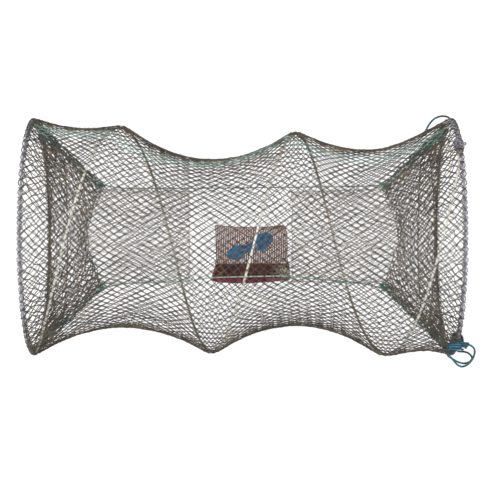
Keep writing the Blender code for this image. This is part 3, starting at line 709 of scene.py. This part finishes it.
def netRadius(x, angle):
    # the net hangs in between the rings and the turns of the spring
    rim = trap["ringRadius"] + net["rim"]
    holds = [(0.0, rim)] + [(p, coilRadius(p) + net["overWire"]) for p in ridges(angle)]
    holds.append((trap["length"], rim))
    for (start, low), (stop, high) in zip(holds, holds[1:]):
        if start <= x <= stop and stop > start:
            rest = min(net["rest"], (stop - start) / 4)
            share = min(max((x - start - rest) / (stop - start - 2 * rest), 0.0), 1.0)
            waist = 4 * net["waist"] * ((stop - start) / coilPitch) ** 2
            waist *= net["rimWaist"] if start == 0.0 or stop == trap["length"] else 1.0
            return low + (high - low) * share - waist * share * (1 - share)
    return rim


def barRun(x, angle):
    # how far along the trap a strand reaches: less where the net is wide or steep
    radius, probe = netRadius(x, angle), net["probe"]
    slope = (netRadius(x + probe, angle) - netRadius(x - probe, angle)) / (2 * probe)
    return math.sqrt((net["bar"] ** 2 - (math.pi * radius / net["meshes"]) ** 2) / (1 + slope ** 2))


# The rows of knots bend, because every line of knots from ring to ring has as many, all equally far apart
stepLength = trap["length"] / net["steps"]
stepMiddles = [trap["length"] * (n + 0.5) / net["steps"] for n in range(net["steps"])]
stepEnds = [trap["length"] * n / net["steps"] for n in range(net["steps"] + 1)]
counts = []
for half in range(2 * net["meshes"]):
    angle = 180 * half / net["meshes"]
    counts.append(np.concatenate([[0.0], np.cumsum([stepLength / barRun(x, angle) for x in stepMiddles])]))
rowCount = round(float(np.mean([c[-1] for c in counts])))
knots, knotKinds = [], []
for row in range(rowCount + 1):
    for mesh in range(net["meshes"]):
        half = 2 * mesh + row % 2
        angle = 360 / net["meshes"] * half / 2
        x = float(np.interp(row / rowCount * counts[half][-1], counts[half], stepEnds))
        loose = np.zeros(3) if row in (0, rowCount) else chance.normal(0, 1, 3) * net["loose"]
        drift = net["drift"] * math.sin(math.radians(net["driftRound"] * angle) + x * net["driftAlong"])
        drift *= math.sin(math.pi * x / trap["length"])
        place = min(max(x + loose[0] + drift, 0.0), trap["length"])
        radius = netRadius(place, angle + loose[1]) + loose[2]
        knots.append(hungPoint(place, radius, angle + loose[1]))
        # twine of other colours: the selvedges that the seam joins, and a mended patch at the right ring
        mended = place > trap["length"] - net["mendLength"] and net["mend"][0] < angle < net["mend"][1]
        seamed = net["selvedges"][0] < angle < net["selvedges"][1]
        knotKinds.append(2 if mended else 1 if seamed else 0)

pairs = netStrands(rowCount + 1, net["meshes"])
strandKinds = [knotKinds[a] if knotKinds[a] == knotKinds[b] else 0 for a, b in pairs]
netTwines = [nettingTwine, selvedge, mendTwine]
starts, ends = [knots[a] for a, b in pairs], [knots[b] for a, b in pairs]
follow(strandMesh("outer_netting", starts, ends, net["twine"], netTwines, strandKinds), "outer_net")
inner = slice(net["meshes"], len(knots) - net["meshes"])
follow(knotMesh("outer_netting_knots", knots[inner], net["knot"], netTwines, knotKinds[inner]), "outer_net")

# Seam that closes the tube of netting
seam = {
    "cord": 0.0009,
    "lay": 0.007,
    "lacing": 0.0005,  # wound round the cord and both selvedges
    "pitch": 0.009,
    "reach": 0.0035,  # to either side of the cord
    "inset": 0.007,  # from each ring
    "lift": 0.0014,  # over the net
    "cordPoints": 244,
    "lacingPoints": 1199,
    "spacing": 0.0012,
}
seamLength = trap["length"] - 2 * seam["inset"]
line, wrap = [], []
for n in range(seam["cordPoints"] + 1):
    x = seam["inset"] + seamLength * n / seam["cordPoints"]
    line.append(hungPoint(x, netRadius(x, net["seam"]) + seam["lift"], net["seam"]))
for n in range(seam["lacingPoints"] + 1):
    x = seam["inset"] + seamLength * n / seam["lacingPoints"]
    turn = 2 * math.pi * x / seam["pitch"]
    radius = netRadius(x, net["seam"]) + seam["lift"] + seam["lift"] * math.cos(turn)
    wrap.append(hungPoint(x, radius, net["seam"] + math.degrees(seam["reach"] * math.sin(turn) / radius)))
shape = Shape()
shape.cord(line, seam["cord"], lay=seam["lay"], sides=9)
shape.cord(wrap, seam["lacing"], sides=5, spacing=seam["spacing"])
follow(shape.make("net_seam_lacing", [seamTwine]), "net_seam")


# Funnels and flat throats
print("funnels")
funnel = {
    "depth": 0.096,
    "bow": 0.022,  # how much shorter a funnel is in the middle of its flat sides
    "rim": 0.0036,  # inside the ring wire
    "rows": 21,
    "joinRow": 8,  # where the net at the ring ends and the inner one starts
    "rimMeshes": 92,
    "rimTwine": 0.00141,
    "innerMeshes": 55,
    "innerTwine": 0.0011,
    "knot": 0.9 * net["knot"],
    "loose": (0.0011, 0.0012, 0.0011),  # how far knots stray along, back and up
    "halfWidth": 0.070,  # of the slot where the throat starts
    "halfHeight": 0.019,
    "foldReach": (7, 27, 0.45),  # degrees that the back lacing gathers, more at the ring, and where that ends
    "frontReach": 8,
    "foldFrom": 0.05,  # share of the way down at which the gathering starts
}
throat = {
    "length": {"left": 0.130, "right": 0.136},
    "endWidth": 0.067,  # half, as for the slot
    "endHeight": 0.010,
    "meshes": 38,
    "bar": 0.0098,
    "round": 0.161,  # half the way round it
    "twine": 0.00080,
    "knot": 0.8 * net["knot"],
    "loose": (0.0008, 0.0007, 0.0005),
}


def slotPoint(halfWidth, halfHeight, share):
    # round a flat slot with round ends, from its front end; gives back and up
    run, quarter = 2 * (halfWidth - halfHeight), math.pi / 2 * halfHeight
    share %= 1
    way = min(share, 1 - share) * 2 * (run + 2 * quarter)
    if way < quarter:
        back = -run / 2 - halfHeight * math.cos(way / halfHeight)
        up = halfHeight * math.sin(way / halfHeight)
    elif way < quarter + run:
        back, up = way - quarter - run / 2, halfHeight
    else:
        turn = (way - quarter - run) / halfHeight
        back, up = run / 2 + halfHeight * math.sin(turn), halfHeight * math.cos(turn)
    return back, up if share <= 0.5 else -up


def funnelPoint(side, share, throatShare, angle):
    # share runs down the funnel, throatShare along the throat after it
    ringX, inwards = (0.0, 1) if side == "left" else (trap["length"], -1)
    bow = funnel["bow"] * math.sin(math.radians(angle)) ** 2
    width = funnel["halfWidth"] + (throat["endWidth"] - funnel["halfWidth"]) * throatShare
    height = funnel["halfHeight"] + (throat["endHeight"] - funnel["halfHeight"]) * throatShare
    run = funnel["depth"] * share + throat["length"][side] * throatShare - bow * (share ** 3 - throatShare)
    x = ringX + inwards * run
    back, up = slotPoint(width, height, angle / 360)
    flat = Vector((x - trap["length"] / 2, back, trap["axisHeight"] + up))
    return trapPoint(x, trap["ringRadius"] - funnel["rim"], angle).lerp(flat, share)


def folded(angle, share):
    # the strands that the lacing gathers: a narrow band at the front, a wider one at the back of the ring
    narrow, more, until = funnel["foldReach"]
    reach = narrow + more * max(1 - share / until, 0) if 90 < angle < 270 else funnel["frontReach"]
    return 1 if share > funnel["foldFrom"] and min(abs(angle - 180), angle, abs(360 - angle)) < reach else 0


def makeFunnel(side):
    # two nets, joined part of the way down: the one at the ring has more meshes, in heavier twine
    node, twines = f"funnel_{side}", [nettingTwine, foldTwine]
    places, placeKinds, join = [], [], funnel["joinRow"]
    for part, first, last in (("rim", 0, join), ("inner", join, funnel["rows"])):
        meshes, twine = funnel[part + "Meshes"], funnel[part + "Twine"]
        level, kinds = [], []
        for row in range(first, last + 1):
            share = row / funnel["rows"]
            for mesh in range(meshes):
                angle = 360 / meshes * (mesh + row % 2 / 2)
                slack = np.zeros(3) if row in (0, join) else chance.normal(0, 1, 3) * funnel["loose"]
                level.append(funnelPoint(side, share, 0.0, angle) + Vector(slack))
                kinds.append(folded(angle, share))
        pairs = netStrands(last - first + 1, meshes, first % 2)
        starts, ends = [level[a] for a, b in pairs], [level[b] for a, b in pairs]
        strands = [kinds[a] * kinds[b] for a, b in pairs]
        # doubled twine round the end of each net
        edge = level[-meshes:]
        starts += edge
        ends += edge[1:] + edge[:1]
        strands += kinds[-meshes:]
        places += level[meshes:]
        placeKinds += kinds[meshes:]
        follow(strandMesh(f"funnel_{side}_{part}_netting", starts, ends, twine, twines, strands), node)
    # the throat is a sleeve of fewer and finer meshes, laced to the last row of the funnel
    few = throat["meshes"]
    rows = round(throat["length"][side] / math.sqrt(throat["bar"] ** 2 - (throat["round"] / few) ** 2))
    sleeve = []
    for row in range(rows + 1):
        for mesh in range(few):
            angle = 360 / few * (mesh + row % 2 / 2)
            slack = chance.normal(0, 1, 3) * throat["loose"]
            sleeve.append(funnelPoint(side, 1.0, row / rows, angle) + Vector(slack))
    edge, pairs = sleeve[-few:], netStrands(rows + 1, few)
    starts, ends = edge + [sleeve[a] for a, b in pairs], edge[1:] + edge[:1] + [sleeve[b] for a, b in pairs]
    follow(strandMesh(f"throat_{side}_netting", starts, ends, throat["twine"], [throatTwine]), node)
    follow(knotMesh(f"throat_{side}_knots", sleeve[few:], throat["knot"], [throatTwine]), node)
    follow(knotMesh(f"funnel_{side}_knots", places, funnel["knot"], twines, placeKinds), node)


for side in ("left", "right"):
    makeFunnel(side)


# Lacing down the folds of the funnels, and the knots at the corners of the throats
print("lacing, knots and cords")
lacing = {
    "cord": 0.0020,
    "lay": 0.0075,
    "fromX": 0.2981,  # at the lashing, on either side of the middle
    "fromY": 0.16465,
    "toX": 0.21134,  # at the knot
    "toY": 0.07839,
    "bundle": 0.0011,  # the gathered edges of the net, and the twine that binds them
    "bundles": 4,
    "reach": 0.0026,
    "bundleReach": (0.75, 0.12),  # share of that for the first edge, and how much more for each next one
    "bundlePitch": (0.021, 0.003),
    "bundlePhase": 1.6,
    "bundleFlat": 0.8,
    "bundleSpacing": 0.0025,
    "over": 0.0008,  # how far the binding twine lies outside them
    "pitch": 0.0065,
    "phase": 0.5,
    "spacing": 0.0012,
}
cornerKnot = {
    "x": 0.209,
    "y": 0.07606,
    "cord": 0.0017,
    "lay": 0.006,
    "radius": 0.0030,
    "points": 48,
    "spacing": 0.0007,
    "around": (0.0035, 0.0075),  # how far its turns reach out along the fold, and into the throat
    "turnReach": 0.0046,
    "turnPitch": 0.0027,
    "turnSpacing": 0.0008,
    "tails": (-0.7, 0.9),  # how far each cut end leans
    "tail": ((-0.004, 0.003, 0.0030), (-0.009, 0.006, 0.0038)),  # its middle and tip: along, across, up
    "tailCord": 0.0012,
    "tailLay": 0.005,
}


def windRound(start, stop, reach, pitch, phase=0.0, flat=1.0, perTurn=10, uneven=0.18):
    # a helix about the line from start to stop, with turns of uneven size
    along = (stop - start).normalized()
    across = along.cross(Vector((0, 0, 1))).normalized()
    up = across.cross(along)
    length = (stop - start).length
    points = []
    for n in range(round(length / pitch * perTurn) + 1):
        turn = 2 * math.pi * n / perTurn + phase
        way = min(pitch * n / perTurn, length)
        grow = 1.0 + uneven * math.sin(n * 0.7 + phase)
        side = across * reach * grow * math.cos(turn)
        points.append(start + along * way + side + up * reach * flat * grow * math.sin(turn))
    return points


def makeLacing(side, face, start, stop):
    shape = Shape()
    shape.cord([start, stop], lacing["cord"], lay=lacing["lay"], sides=9)
    (share, more), (pitch, longer) = lacing["bundleReach"], lacing["bundlePitch"]
    for k in range(lacing["bundles"]):
        reach = lacing["reach"] * (share + more * k)
        turns = windRound(start, stop, reach, pitch + longer * k, lacing["bundlePhase"] * k,
                          lacing["bundleFlat"])
        shape.cord(turns, lacing["bundle"], sides=5, spacing=lacing["bundleSpacing"], slot=1)
    turns = windRound(start, stop, lacing["reach"] + lacing["over"], lacing["pitch"], lacing["phase"])
    shape.cord(turns, lacing["bundle"], sides=5, spacing=lacing["spacing"])
    follow(shape.make(f"lacing_{side}_{face}_twine", [foldTwine, nettingTwine]), f"lacing_{side}_{face}")


def makeCornerKnot(side, face, middle, fold, sign, back):
    # an overhand knot, as a trefoil
    size = cornerKnot["radius"] - cornerKnot["cord"] / 2
    loop = []
    for n in range(cornerKnot["points"] + 1):
        t = 2 * math.pi * n / cornerKnot["points"]
        bend = (math.sin(t) + 2 * math.sin(2 * t), math.cos(t) - 2 * math.cos(2 * t), -1.4 * math.sin(3 * t))
        loop.append(middle + Vector(bend) * size / 2.3)
    shape = Shape()
    shape.cord(loop, cornerKnot["cord"], lay=cornerKnot["lay"], sides=9, spacing=cornerKnot["spacing"])
    # the same cord taken four times round the gathered corner of the throat
    outwards, inwards = cornerKnot["around"]
    turns = windRound(middle + fold * outwards, middle - fold * inwards, cornerKnot["turnReach"],
                      cornerKnot["turnPitch"], 0.9, perTurn=14)
    shape.cord(turns, cornerKnot["cord"], lay=cornerKnot["lay"], sides=8, spacing=cornerKnot["turnSpacing"])
    for lean in cornerKnot["tails"]:
        tail = [middle]
        for along, across, up in cornerKnot["tail"]:
            tail.append(middle + Vector((sign * along, back * across * lean, up)))
        shape.cord(smoothRoute(tail, 5), cornerKnot["tailCord"], lay=cornerKnot["tailLay"], sides=6,
                   spacing=cornerKnot["turnSpacing"])
    follow(shape.make(f"corner_knot_{side}_{face}_tied", [knotGreen]), f"corner_knot_{side}_{face}")


for side, sign in (("left", -1), ("right", 1)):
    for face, back in (("front", -1), ("back", 1)):
        start = Vector((sign * lacing["fromX"], back * lacing["fromY"], trap["axisHeight"]))
        stop = Vector((sign * lacing["toX"], back * lacing["toY"], trap["axisHeight"]))
        middle = Vector((sign * cornerKnot["x"], back * cornerKnot["y"], trap["axisHeight"]))
        makeLacing(side, face, start, stop)
        makeCornerKnot(side, face, middle, (start - stop).normalized(), sign, back)

# Cords that stretch the throats, each as x, y and height over the axis. The front one lies on the shoulder
# of each throat and carries the pouch
cordRoute = {
    "front": [(-0.2057, -0.07606, 0), (-0.1765, -0.0697, 0.0040), (-0.131, -0.0672, 0.0078),
              (-0.079, -0.0645, 0.0085), (-0.0461, -0.0606, -0.0030), (-0.0147, -0.0594, -0.0058),
              (0.0135, -0.0588, -0.0060), (0.045, -0.0581, -0.0050), (0.062, -0.0580, 0.0035),
              (0.0745, -0.0584, 0.0115), (0.095, -0.0606, 0.0120), (0.1274, -0.0640, 0.0112),
              (0.175, -0.0690, 0.0050), (0.2057, -0.07606, 0)],
    "back": [(-0.2057, 0.07606, 0), (-0.1765, 0.0713, 0), (-0.131, 0.0710, 0), (-0.079, 0.0712, 0),
             (-0.01475, 0.0718, -0.006), (0.073, 0.0727, 0), (0.1274, 0.0735, 0), (0.175, 0.0742, 0),
             (0.2057, 0.07606, 0)],
}
stretcher = {"diameter": 0.0020, "lay": 0.0075}
for face, surface in (("front", greenCord), ("back", soiledCord)):
    points = [Vector((x, y, trap["axisHeight"] + rise)) for x, y, rise in cordRoute[face]]
    shape = Shape()
    shape.cord(smoothRoute(points, 8), stretcher["diameter"], lay=stretcher["lay"], sides=9)
    follow(shape.make(f"cord_{face}_laid", [surface]), f"cord_{face}")


# Bait pouch: a bag of fine knitted mesh that hangs from the front cord and slopes up to the back
print("bait pouch")
pouch = {
    "middle": Vector((0.0135, -0.0593, 0.1690)),  # where the cord crosses it
    "slope": 11.0,  # degrees
    "drop": 0.0103,  # from the cord to the middle of the hem
    "start": 0.010,
    "depth": 0.0655,
    "neck": 0.0539,  # half its width in the hem, and then behind it
    "half": 0.052,
    "neckHeight": 0.0072,
    "halfHeight": 0.0095,
    "neckLength": 0.3,  # share of the depth over which the neck turns into the bag
    "leftFlare": 0.0015,
    "rightTaper": 0.0055,
    "taperFrom": 0.72,
    "thinFrom": 0.25,  # share of the depth from which the bag gets thinner
    "thinOver": 0.58,  # square of the share over which it would come down to nothing
    "crown": 3.33,  # how flat the bag is across: 2 is round
    "endBow": 0.0035,  # how far the closed end draws in between its corners
    "dimples": ((0.0005, 9, 5), (0.0004, -4, 17)),  # depth, and waves across and along
    "swing": 0.10,  # zigzag of each wale, as a share of its width
    "wales": 40,  # lines of stitches from mouth to end
    "courses": 34,  # and across
    "upperYarn": 0.00050,
    "lowerYarn": 0.00200,  # thicker, as the lower side is two layers of mesh
    "linkYarn": 0.00052,
    "edgeCord": 0.0013,
    "edgeLay": 0.005,
}
pouchFrame = Matrix.Translation(pouch["middle"]) @ Matrix.Rotation(math.radians(pouch["slope"]), 4, "X")


def withPouch(piece, *nodes):
    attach(piece, "bait_pouch")
    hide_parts(*nodes)
    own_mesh(piece)


def pouchPoint(across, along, layer):
    # across from -1 left to 1 right, along from 0 at the hem to 1 at the closed end; layer 1 is the upper
    # side and -1 the lower one
    end = ease(along / pouch["neckLength"])
    neck = pouch["neck"] + (pouch["half"] - pouch["neck"]) * end
    left = neck + pouch["leftFlare"] * along ** 3
    taper = max(along - pouch["taperFrom"], 0) / (1 - pouch["taperFrom"])
    right = neck - pouch["rightTaper"] * taper ** 2
    height = pouch["neckHeight"] + (pouch["halfHeight"] - pouch["neckHeight"]) * end
    thin = max(along - pouch["thinFrom"], 0) ** 2 / pouch["thinOver"]
    height *= math.sqrt(max(1 - thin, 0.0)) if along < 1 else 0.0
    crown = math.sqrt(max(1 - abs(across) ** pouch["crown"], 0.0))
    x = across * (left if across < 0 else right)
    y = pouch["start"] + pouch["depth"] * along - pouch["endBow"] * (1 - across ** 2) * along ** 4
    dimple = sum(deep * math.sin(across * a + along * b) for deep, a, b in pouch["dimples"])
    return pouchFrame @ Vector((x, y, -pouch["drop"] + layer * height * crown + dimple * crown))


# Wales run from mouth to end on both sides, and links join each to the next at every second course
linkStarts, linkEnds = [], []
for layer, name in ((1, "upper"), (-1, "lower")):
    grid, starts, ends = [], [], []
    for wale in range(pouch["wales"] + 1):
        across = -1 + 2 * wale / pouch["wales"]
        column = []
        for course in range(pouch["courses"] + 1):
            swing = pouch["swing"] * (1 if course % 2 else -1) / pouch["wales"]
            place = min(max(across + swing, -1), 1)
            column.append(pouchPoint(place, course / pouch["courses"], layer))
        grid.append(column)
        starts += column[:-1]
        ends += column[1:]
    for wale in range(pouch["wales"]):
        for course in range(pouch["courses"] + 1):
            if (wale + course) % 2:
                linkStarts.append(grid[wale][course])
                linkEnds.append(grid[wale + 1][course])
    wales = strandMesh(f"pouch_{name}_wales", starts, ends, pouch[name + "Yarn"], [pouchYarn])
    withPouch(wales, "pouch_body")
links = strandMesh("pouch_knitted_links", linkStarts, linkEnds, pouch["linkYarn"], [pouchYarn])
withPouch(links, "pouch_body")
edge = [pouchPoint(-1 + 2 * n / pouch["wales"], 1.0, 1) for n in range(pouch["wales"] + 1)]
shape = Shape()
shape.cord(edge, pouch["edgeCord"], lay=pouch["edgeLay"], sides=8)
withPouch(shape.make("pouch_end_seam", [pouchYarn]), "pouch_body")

# Hem: a folded band of tape at the mouth of the pouch, its upper lip over the cord and its lower lip
# hanging out below
hem = {
    "halfWidth": 0.0565,
    "halfHeight": 0.0090,
    "back": 0.0165,  # from the cord
    "front": -0.0020,
    "lip": 0.0120,  # how much farther the lower lip reaches, at its fullest
    "corners": 0.6,  # how square the mouth is at its ends: 1 is round
    "spread": {"left": (-0.055, 0.125), "right": (-0.012, 0.02)},  # share of its width: behind, more in front
    "creases": ((0.0007, 17, 2), (0.0004, 41, 0)),  # depth, and waves across and along
    "creaseShare": {"upper": 0.4, "lower": 1.6},
    "sink": 0.10,
    "cloth": 0.0010,
    "around": 96,
    "rows": 10,
}


def hemPoint(turn, share):
    # turn runs round the mouth: 0 right, 90 on top; share from the back edge to the front
    side, up = math.cos(turn), math.sin(turn)
    across = math.copysign(abs(side) ** hem["corners"], side)
    # the lower lip is fullest a little to the left of its middle
    under = ease(0.5 - 0.9 * up)
    lip = hem["lip"] * (0.55 + 0.45 * math.sin(math.pi * min(max(0.5 + 0.5 * across, 0), 1) ** 0.7))
    front = hem["front"] - under * lip
    along = hem["back"] + (front - hem["back"]) * share
    crease = sum(deep * math.sin(across * a + share * b) for deep, a, b in hem["creases"])
    narrow, more = hem["spread"]["right" if across > 0 else "left"]
    width = hem["halfWidth"] * (1 + (more * share + narrow))
    # towards the front the upper side comes lower, and so does the lower one
    height = hem["halfHeight"] * (1 - hem["sink"] * share * (1 if up > 0 else -1))
    rise = up * height + crease * share * hem["creaseShare"]["upper" if up > 0 else "lower"]
    return pouchFrame @ Vector((across * width, along, -pouch["drop"] + rise))


def lined(turn, row):
    # where the crimson lining shows: the lower lip, and the left end from its third row
    side, up = math.cos(turn), math.sin(turn)
    return up < -0.25 or (side < -0.8 and up < 0.45 and row > 2)


verts, faces, slots = [], [], []
for row in range(hem["rows"] + 1):
    for k in range(hem["around"]):
        verts.append(tuple(hemPoint(2 * math.pi * k / hem["around"], row / hem["rows"])))
for row in range(hem["rows"]):
    for k in range(hem["around"]):
        a, b = row * hem["around"] + k, row * hem["around"] + (k + 1) % hem["around"]
        faces.append((a, b, b + hem["around"], a + hem["around"]))
        slots.append(1 if lined(2 * math.pi * (k + 0.5) / hem["around"], row) else 0)
hemBand = makeObject("pouch_hem_tape", verts, faces, [shadedMaroonTape, redTape], slots)
wall = hemBand.modifiers.new("cloth", "SOLIDIFY")
wall.thickness, wall.offset = hem["cloth"], -1
with bpy.context.temp_override(object=hemBand):
    bpy.ops.object.modifier_apply(modifier="cloth")
withPouch(hemBand, "pouch_hem")


# Hank of hauling line in the pouch: a bow tied round its middle
print("hank")
hank = {
    "diameter": 0.0021,
    "lay": 0.0062,
    "loops": 19,
    "perLoop": 40,
    "halfLength": 0.0345,
    "halfWidth": 0.0130,
    "shorter": 0.56,  # share that the innermost loop loses in length, and then in width
    "narrower": 0.86,
    "wander": 0.0006,
    "waist": 0.0036,
    "height": 0.0034,
    "angle": 21.0,  # degrees from the length of the trap
    "middle": (-0.004, 0.0407, -0.0122),  # from the pouch's: along the trap, back from the cord, and up
    "fuller": 0.22,  # how much wider, longer and flatter the right lobe is
    "longer": 0.11,
    "flatter": 0.2,
    "bend": 0.0045,  # of the right lobe, to the back
    "tieTurns": 4,
    "tiePerTurn": 24,
    "tieOver": (0.0022, 0.0020),  # how far the tie lies outside the waist, and over and under it
}
hankMiddle = Matrix.Translation(Vector(hank["middle"]))
hankFrame = pouchFrame @ hankMiddle @ Matrix.Rotation(math.radians(hank["angle"]), 4, "Z")
points = []
for n in range(hank["loops"] * hank["perLoop"] + 1):
    turns = n / hank["perLoop"]
    depth = turns * 0.618 % 1  # the loops lie inside each other in a scattered order
    length = hank["halfLength"] * (1 - hank["shorter"] * depth) + hank["wander"] * math.sin(n * 0.31)
    width = hank["halfWidth"] * (1 - hank["narrower"] * depth) + hank["wander"] * math.sin(n * 0.23)
    turn = 2 * math.pi * (turns + 0.25)
    x = length * math.cos(turn)
    pinch = math.exp(-((x / (0.34 * hank["halfLength"])) ** 2))
    waist = hank["waist"] * (0.25 + 0.75 * (turns * 0.37 % 1))
    # the right lobe is the fuller one, and bends to the back
    side = max(x, 0) / hank["halfLength"]
    y = (width * (1 + hank["fuller"] * side) + (waist - width) * pinch) * math.sin(turn)
    y += hank["bend"] * side ** 1.5
    z = hank["height"] * (2 * turns / hank["loops"] - 1) * (0.75 + 0.25 * math.cos(turn * 2))
    z += 0.0004 * math.sin(n * 0.5)
    lobe = Vector((x * (1 + hank["longer"] * side), y, z * (1 - hank["flatter"] * side)))
    points.append(hankFrame @ lobe)
shape = Shape()
shape.cord(points, hank["diameter"], lay=hank["lay"], sides=9)
withPouch(shape.make("hank_of_line", [blueLine]), "hank")

points = []
beside, over = hank["tieOver"]
for n in range(hank["tieTurns"] * hank["tiePerTurn"] + 1):
    turn = 2 * math.pi * n / hank["tiePerTurn"]
    x = hank["diameter"] * 0.92 * (n / hank["tiePerTurn"] - hank["tieTurns"] / 2)
    reach = 1 + 0.06 * math.sin(n * 0.21)
    y = (hank["waist"] + beside) * reach * math.cos(turn)
    z = (hank["height"] + over) * reach * math.sin(turn)
    points.append(hankFrame @ Vector((x, y, z)))
shape = Shape()
shape.cord(points, hank["diameter"], lay=hank["lay"], sides=9)
withPouch(shape.make("hank_tie_wraps", [blueLine]), "hank_tie")


# Light: a broad soft lamp above, a weaker one in front on the right, and a pale room
print("light and floor")
light = {
    "key": 75.0,
    "keySize": 3.0,
    "keyPlace": (-0.5, 0.6, 3.4),
    "keyAim": (0, 0, 0.1),
    "fill": 12.0,
    "fillSize": 2.0,
    "fillPlace": (1.6, -1.8, 1.6),
    "fillAim": (0, 0, 0.15),
    "room": 0.62,  # strength of the light that comes from all sides
    "tableLift": 0.86,  # glow that only the camera sees, so that the table turns out white
    "tableHalf": 6,
    "tableDrop": 0.0004,  # under the trap, so that the two don't touch
}


def lamp(name):
    data = bpy.data.lights.new(name, "AREA")
    data.energy, data.size = light[name], light[name + "Size"]
    made = bpy.data.objects.new(name, data)
    made.location = light[name + "Place"]
    aim = Vector(light[name + "Aim"]) - made.location
    made.rotation_euler = aim.to_track_quat("-Z", "Y").to_euler()
    made.visible_camera = False
    bpy.context.scene.collection.objects.link(made)


lamp("key")
lamp("fill")
world = bpy.data.worlds.new("pale room")
bpy.context.scene.world = world
world.use_nodes = True
room = world.node_tree
glow = room.nodes["Background"]
rays = addNode(room, "ShaderNodeLightPath")
seen = addNode(room, "ShaderNodeMath", {"operation": "MAXIMUM"})
room.links.new(rays.outputs["Is Camera Ray"], seen.inputs[0])
room.links.new(rays.outputs["Is Transmission Ray"], seen.inputs[1])
levels = {"To Min": light["room"], "To Max": 1.0}
strength = addNode(room, "ShaderNodeMapRange", levels, {"Value": seen.outputs["Value"]})
glow.inputs["Color"].default_value = (1, 1, 1, 1)
room.links.new(strength.outputs["Result"], glow.inputs["Strength"])

half = light["tableHalf"]
floorMesh = bpy.data.meshes.new("floor")
corners = [(-half, -half, 0), (half, -half, 0), (half, half, 0), (-half, half, 0)]
floorMesh.from_pydata(corners, [], [(0, 1, 2, 3)])
floor = bpy.data.objects.new("floor", floorMesh)
floor.location.z = -light["tableDrop"]
bpy.context.scene.collection.objects.link(floor)
# matt laminate: a plain pale top that keeps the trap's shadow
table, tableTree, tableShader = newMaterial("pale matt table", {"Roughness": 0.6, "Specular IOR Level": 0.2})
tableShader.inputs["Base Color"].default_value = paint("#808080")
tableShader.inputs["Emission Color"].default_value = (1, 1, 1, 1)
tableRays = addNode(tableTree, "ShaderNodeLightPath")
lift = addNode(tableTree, "ShaderNodeMath", {"operation": "MULTIPLY"})
lift.inputs[1].default_value = light["tableLift"]
tableTree.links.new(tableRays.outputs["Is Camera Ray"], lift.inputs[0])
tableTree.links.new(lift.outputs["Value"], tableShader.inputs["Emission Strength"])
floorMesh.materials.append(table)

bpy.context.scene.view_settings.view_transform = "Standard"

print("trap ready")
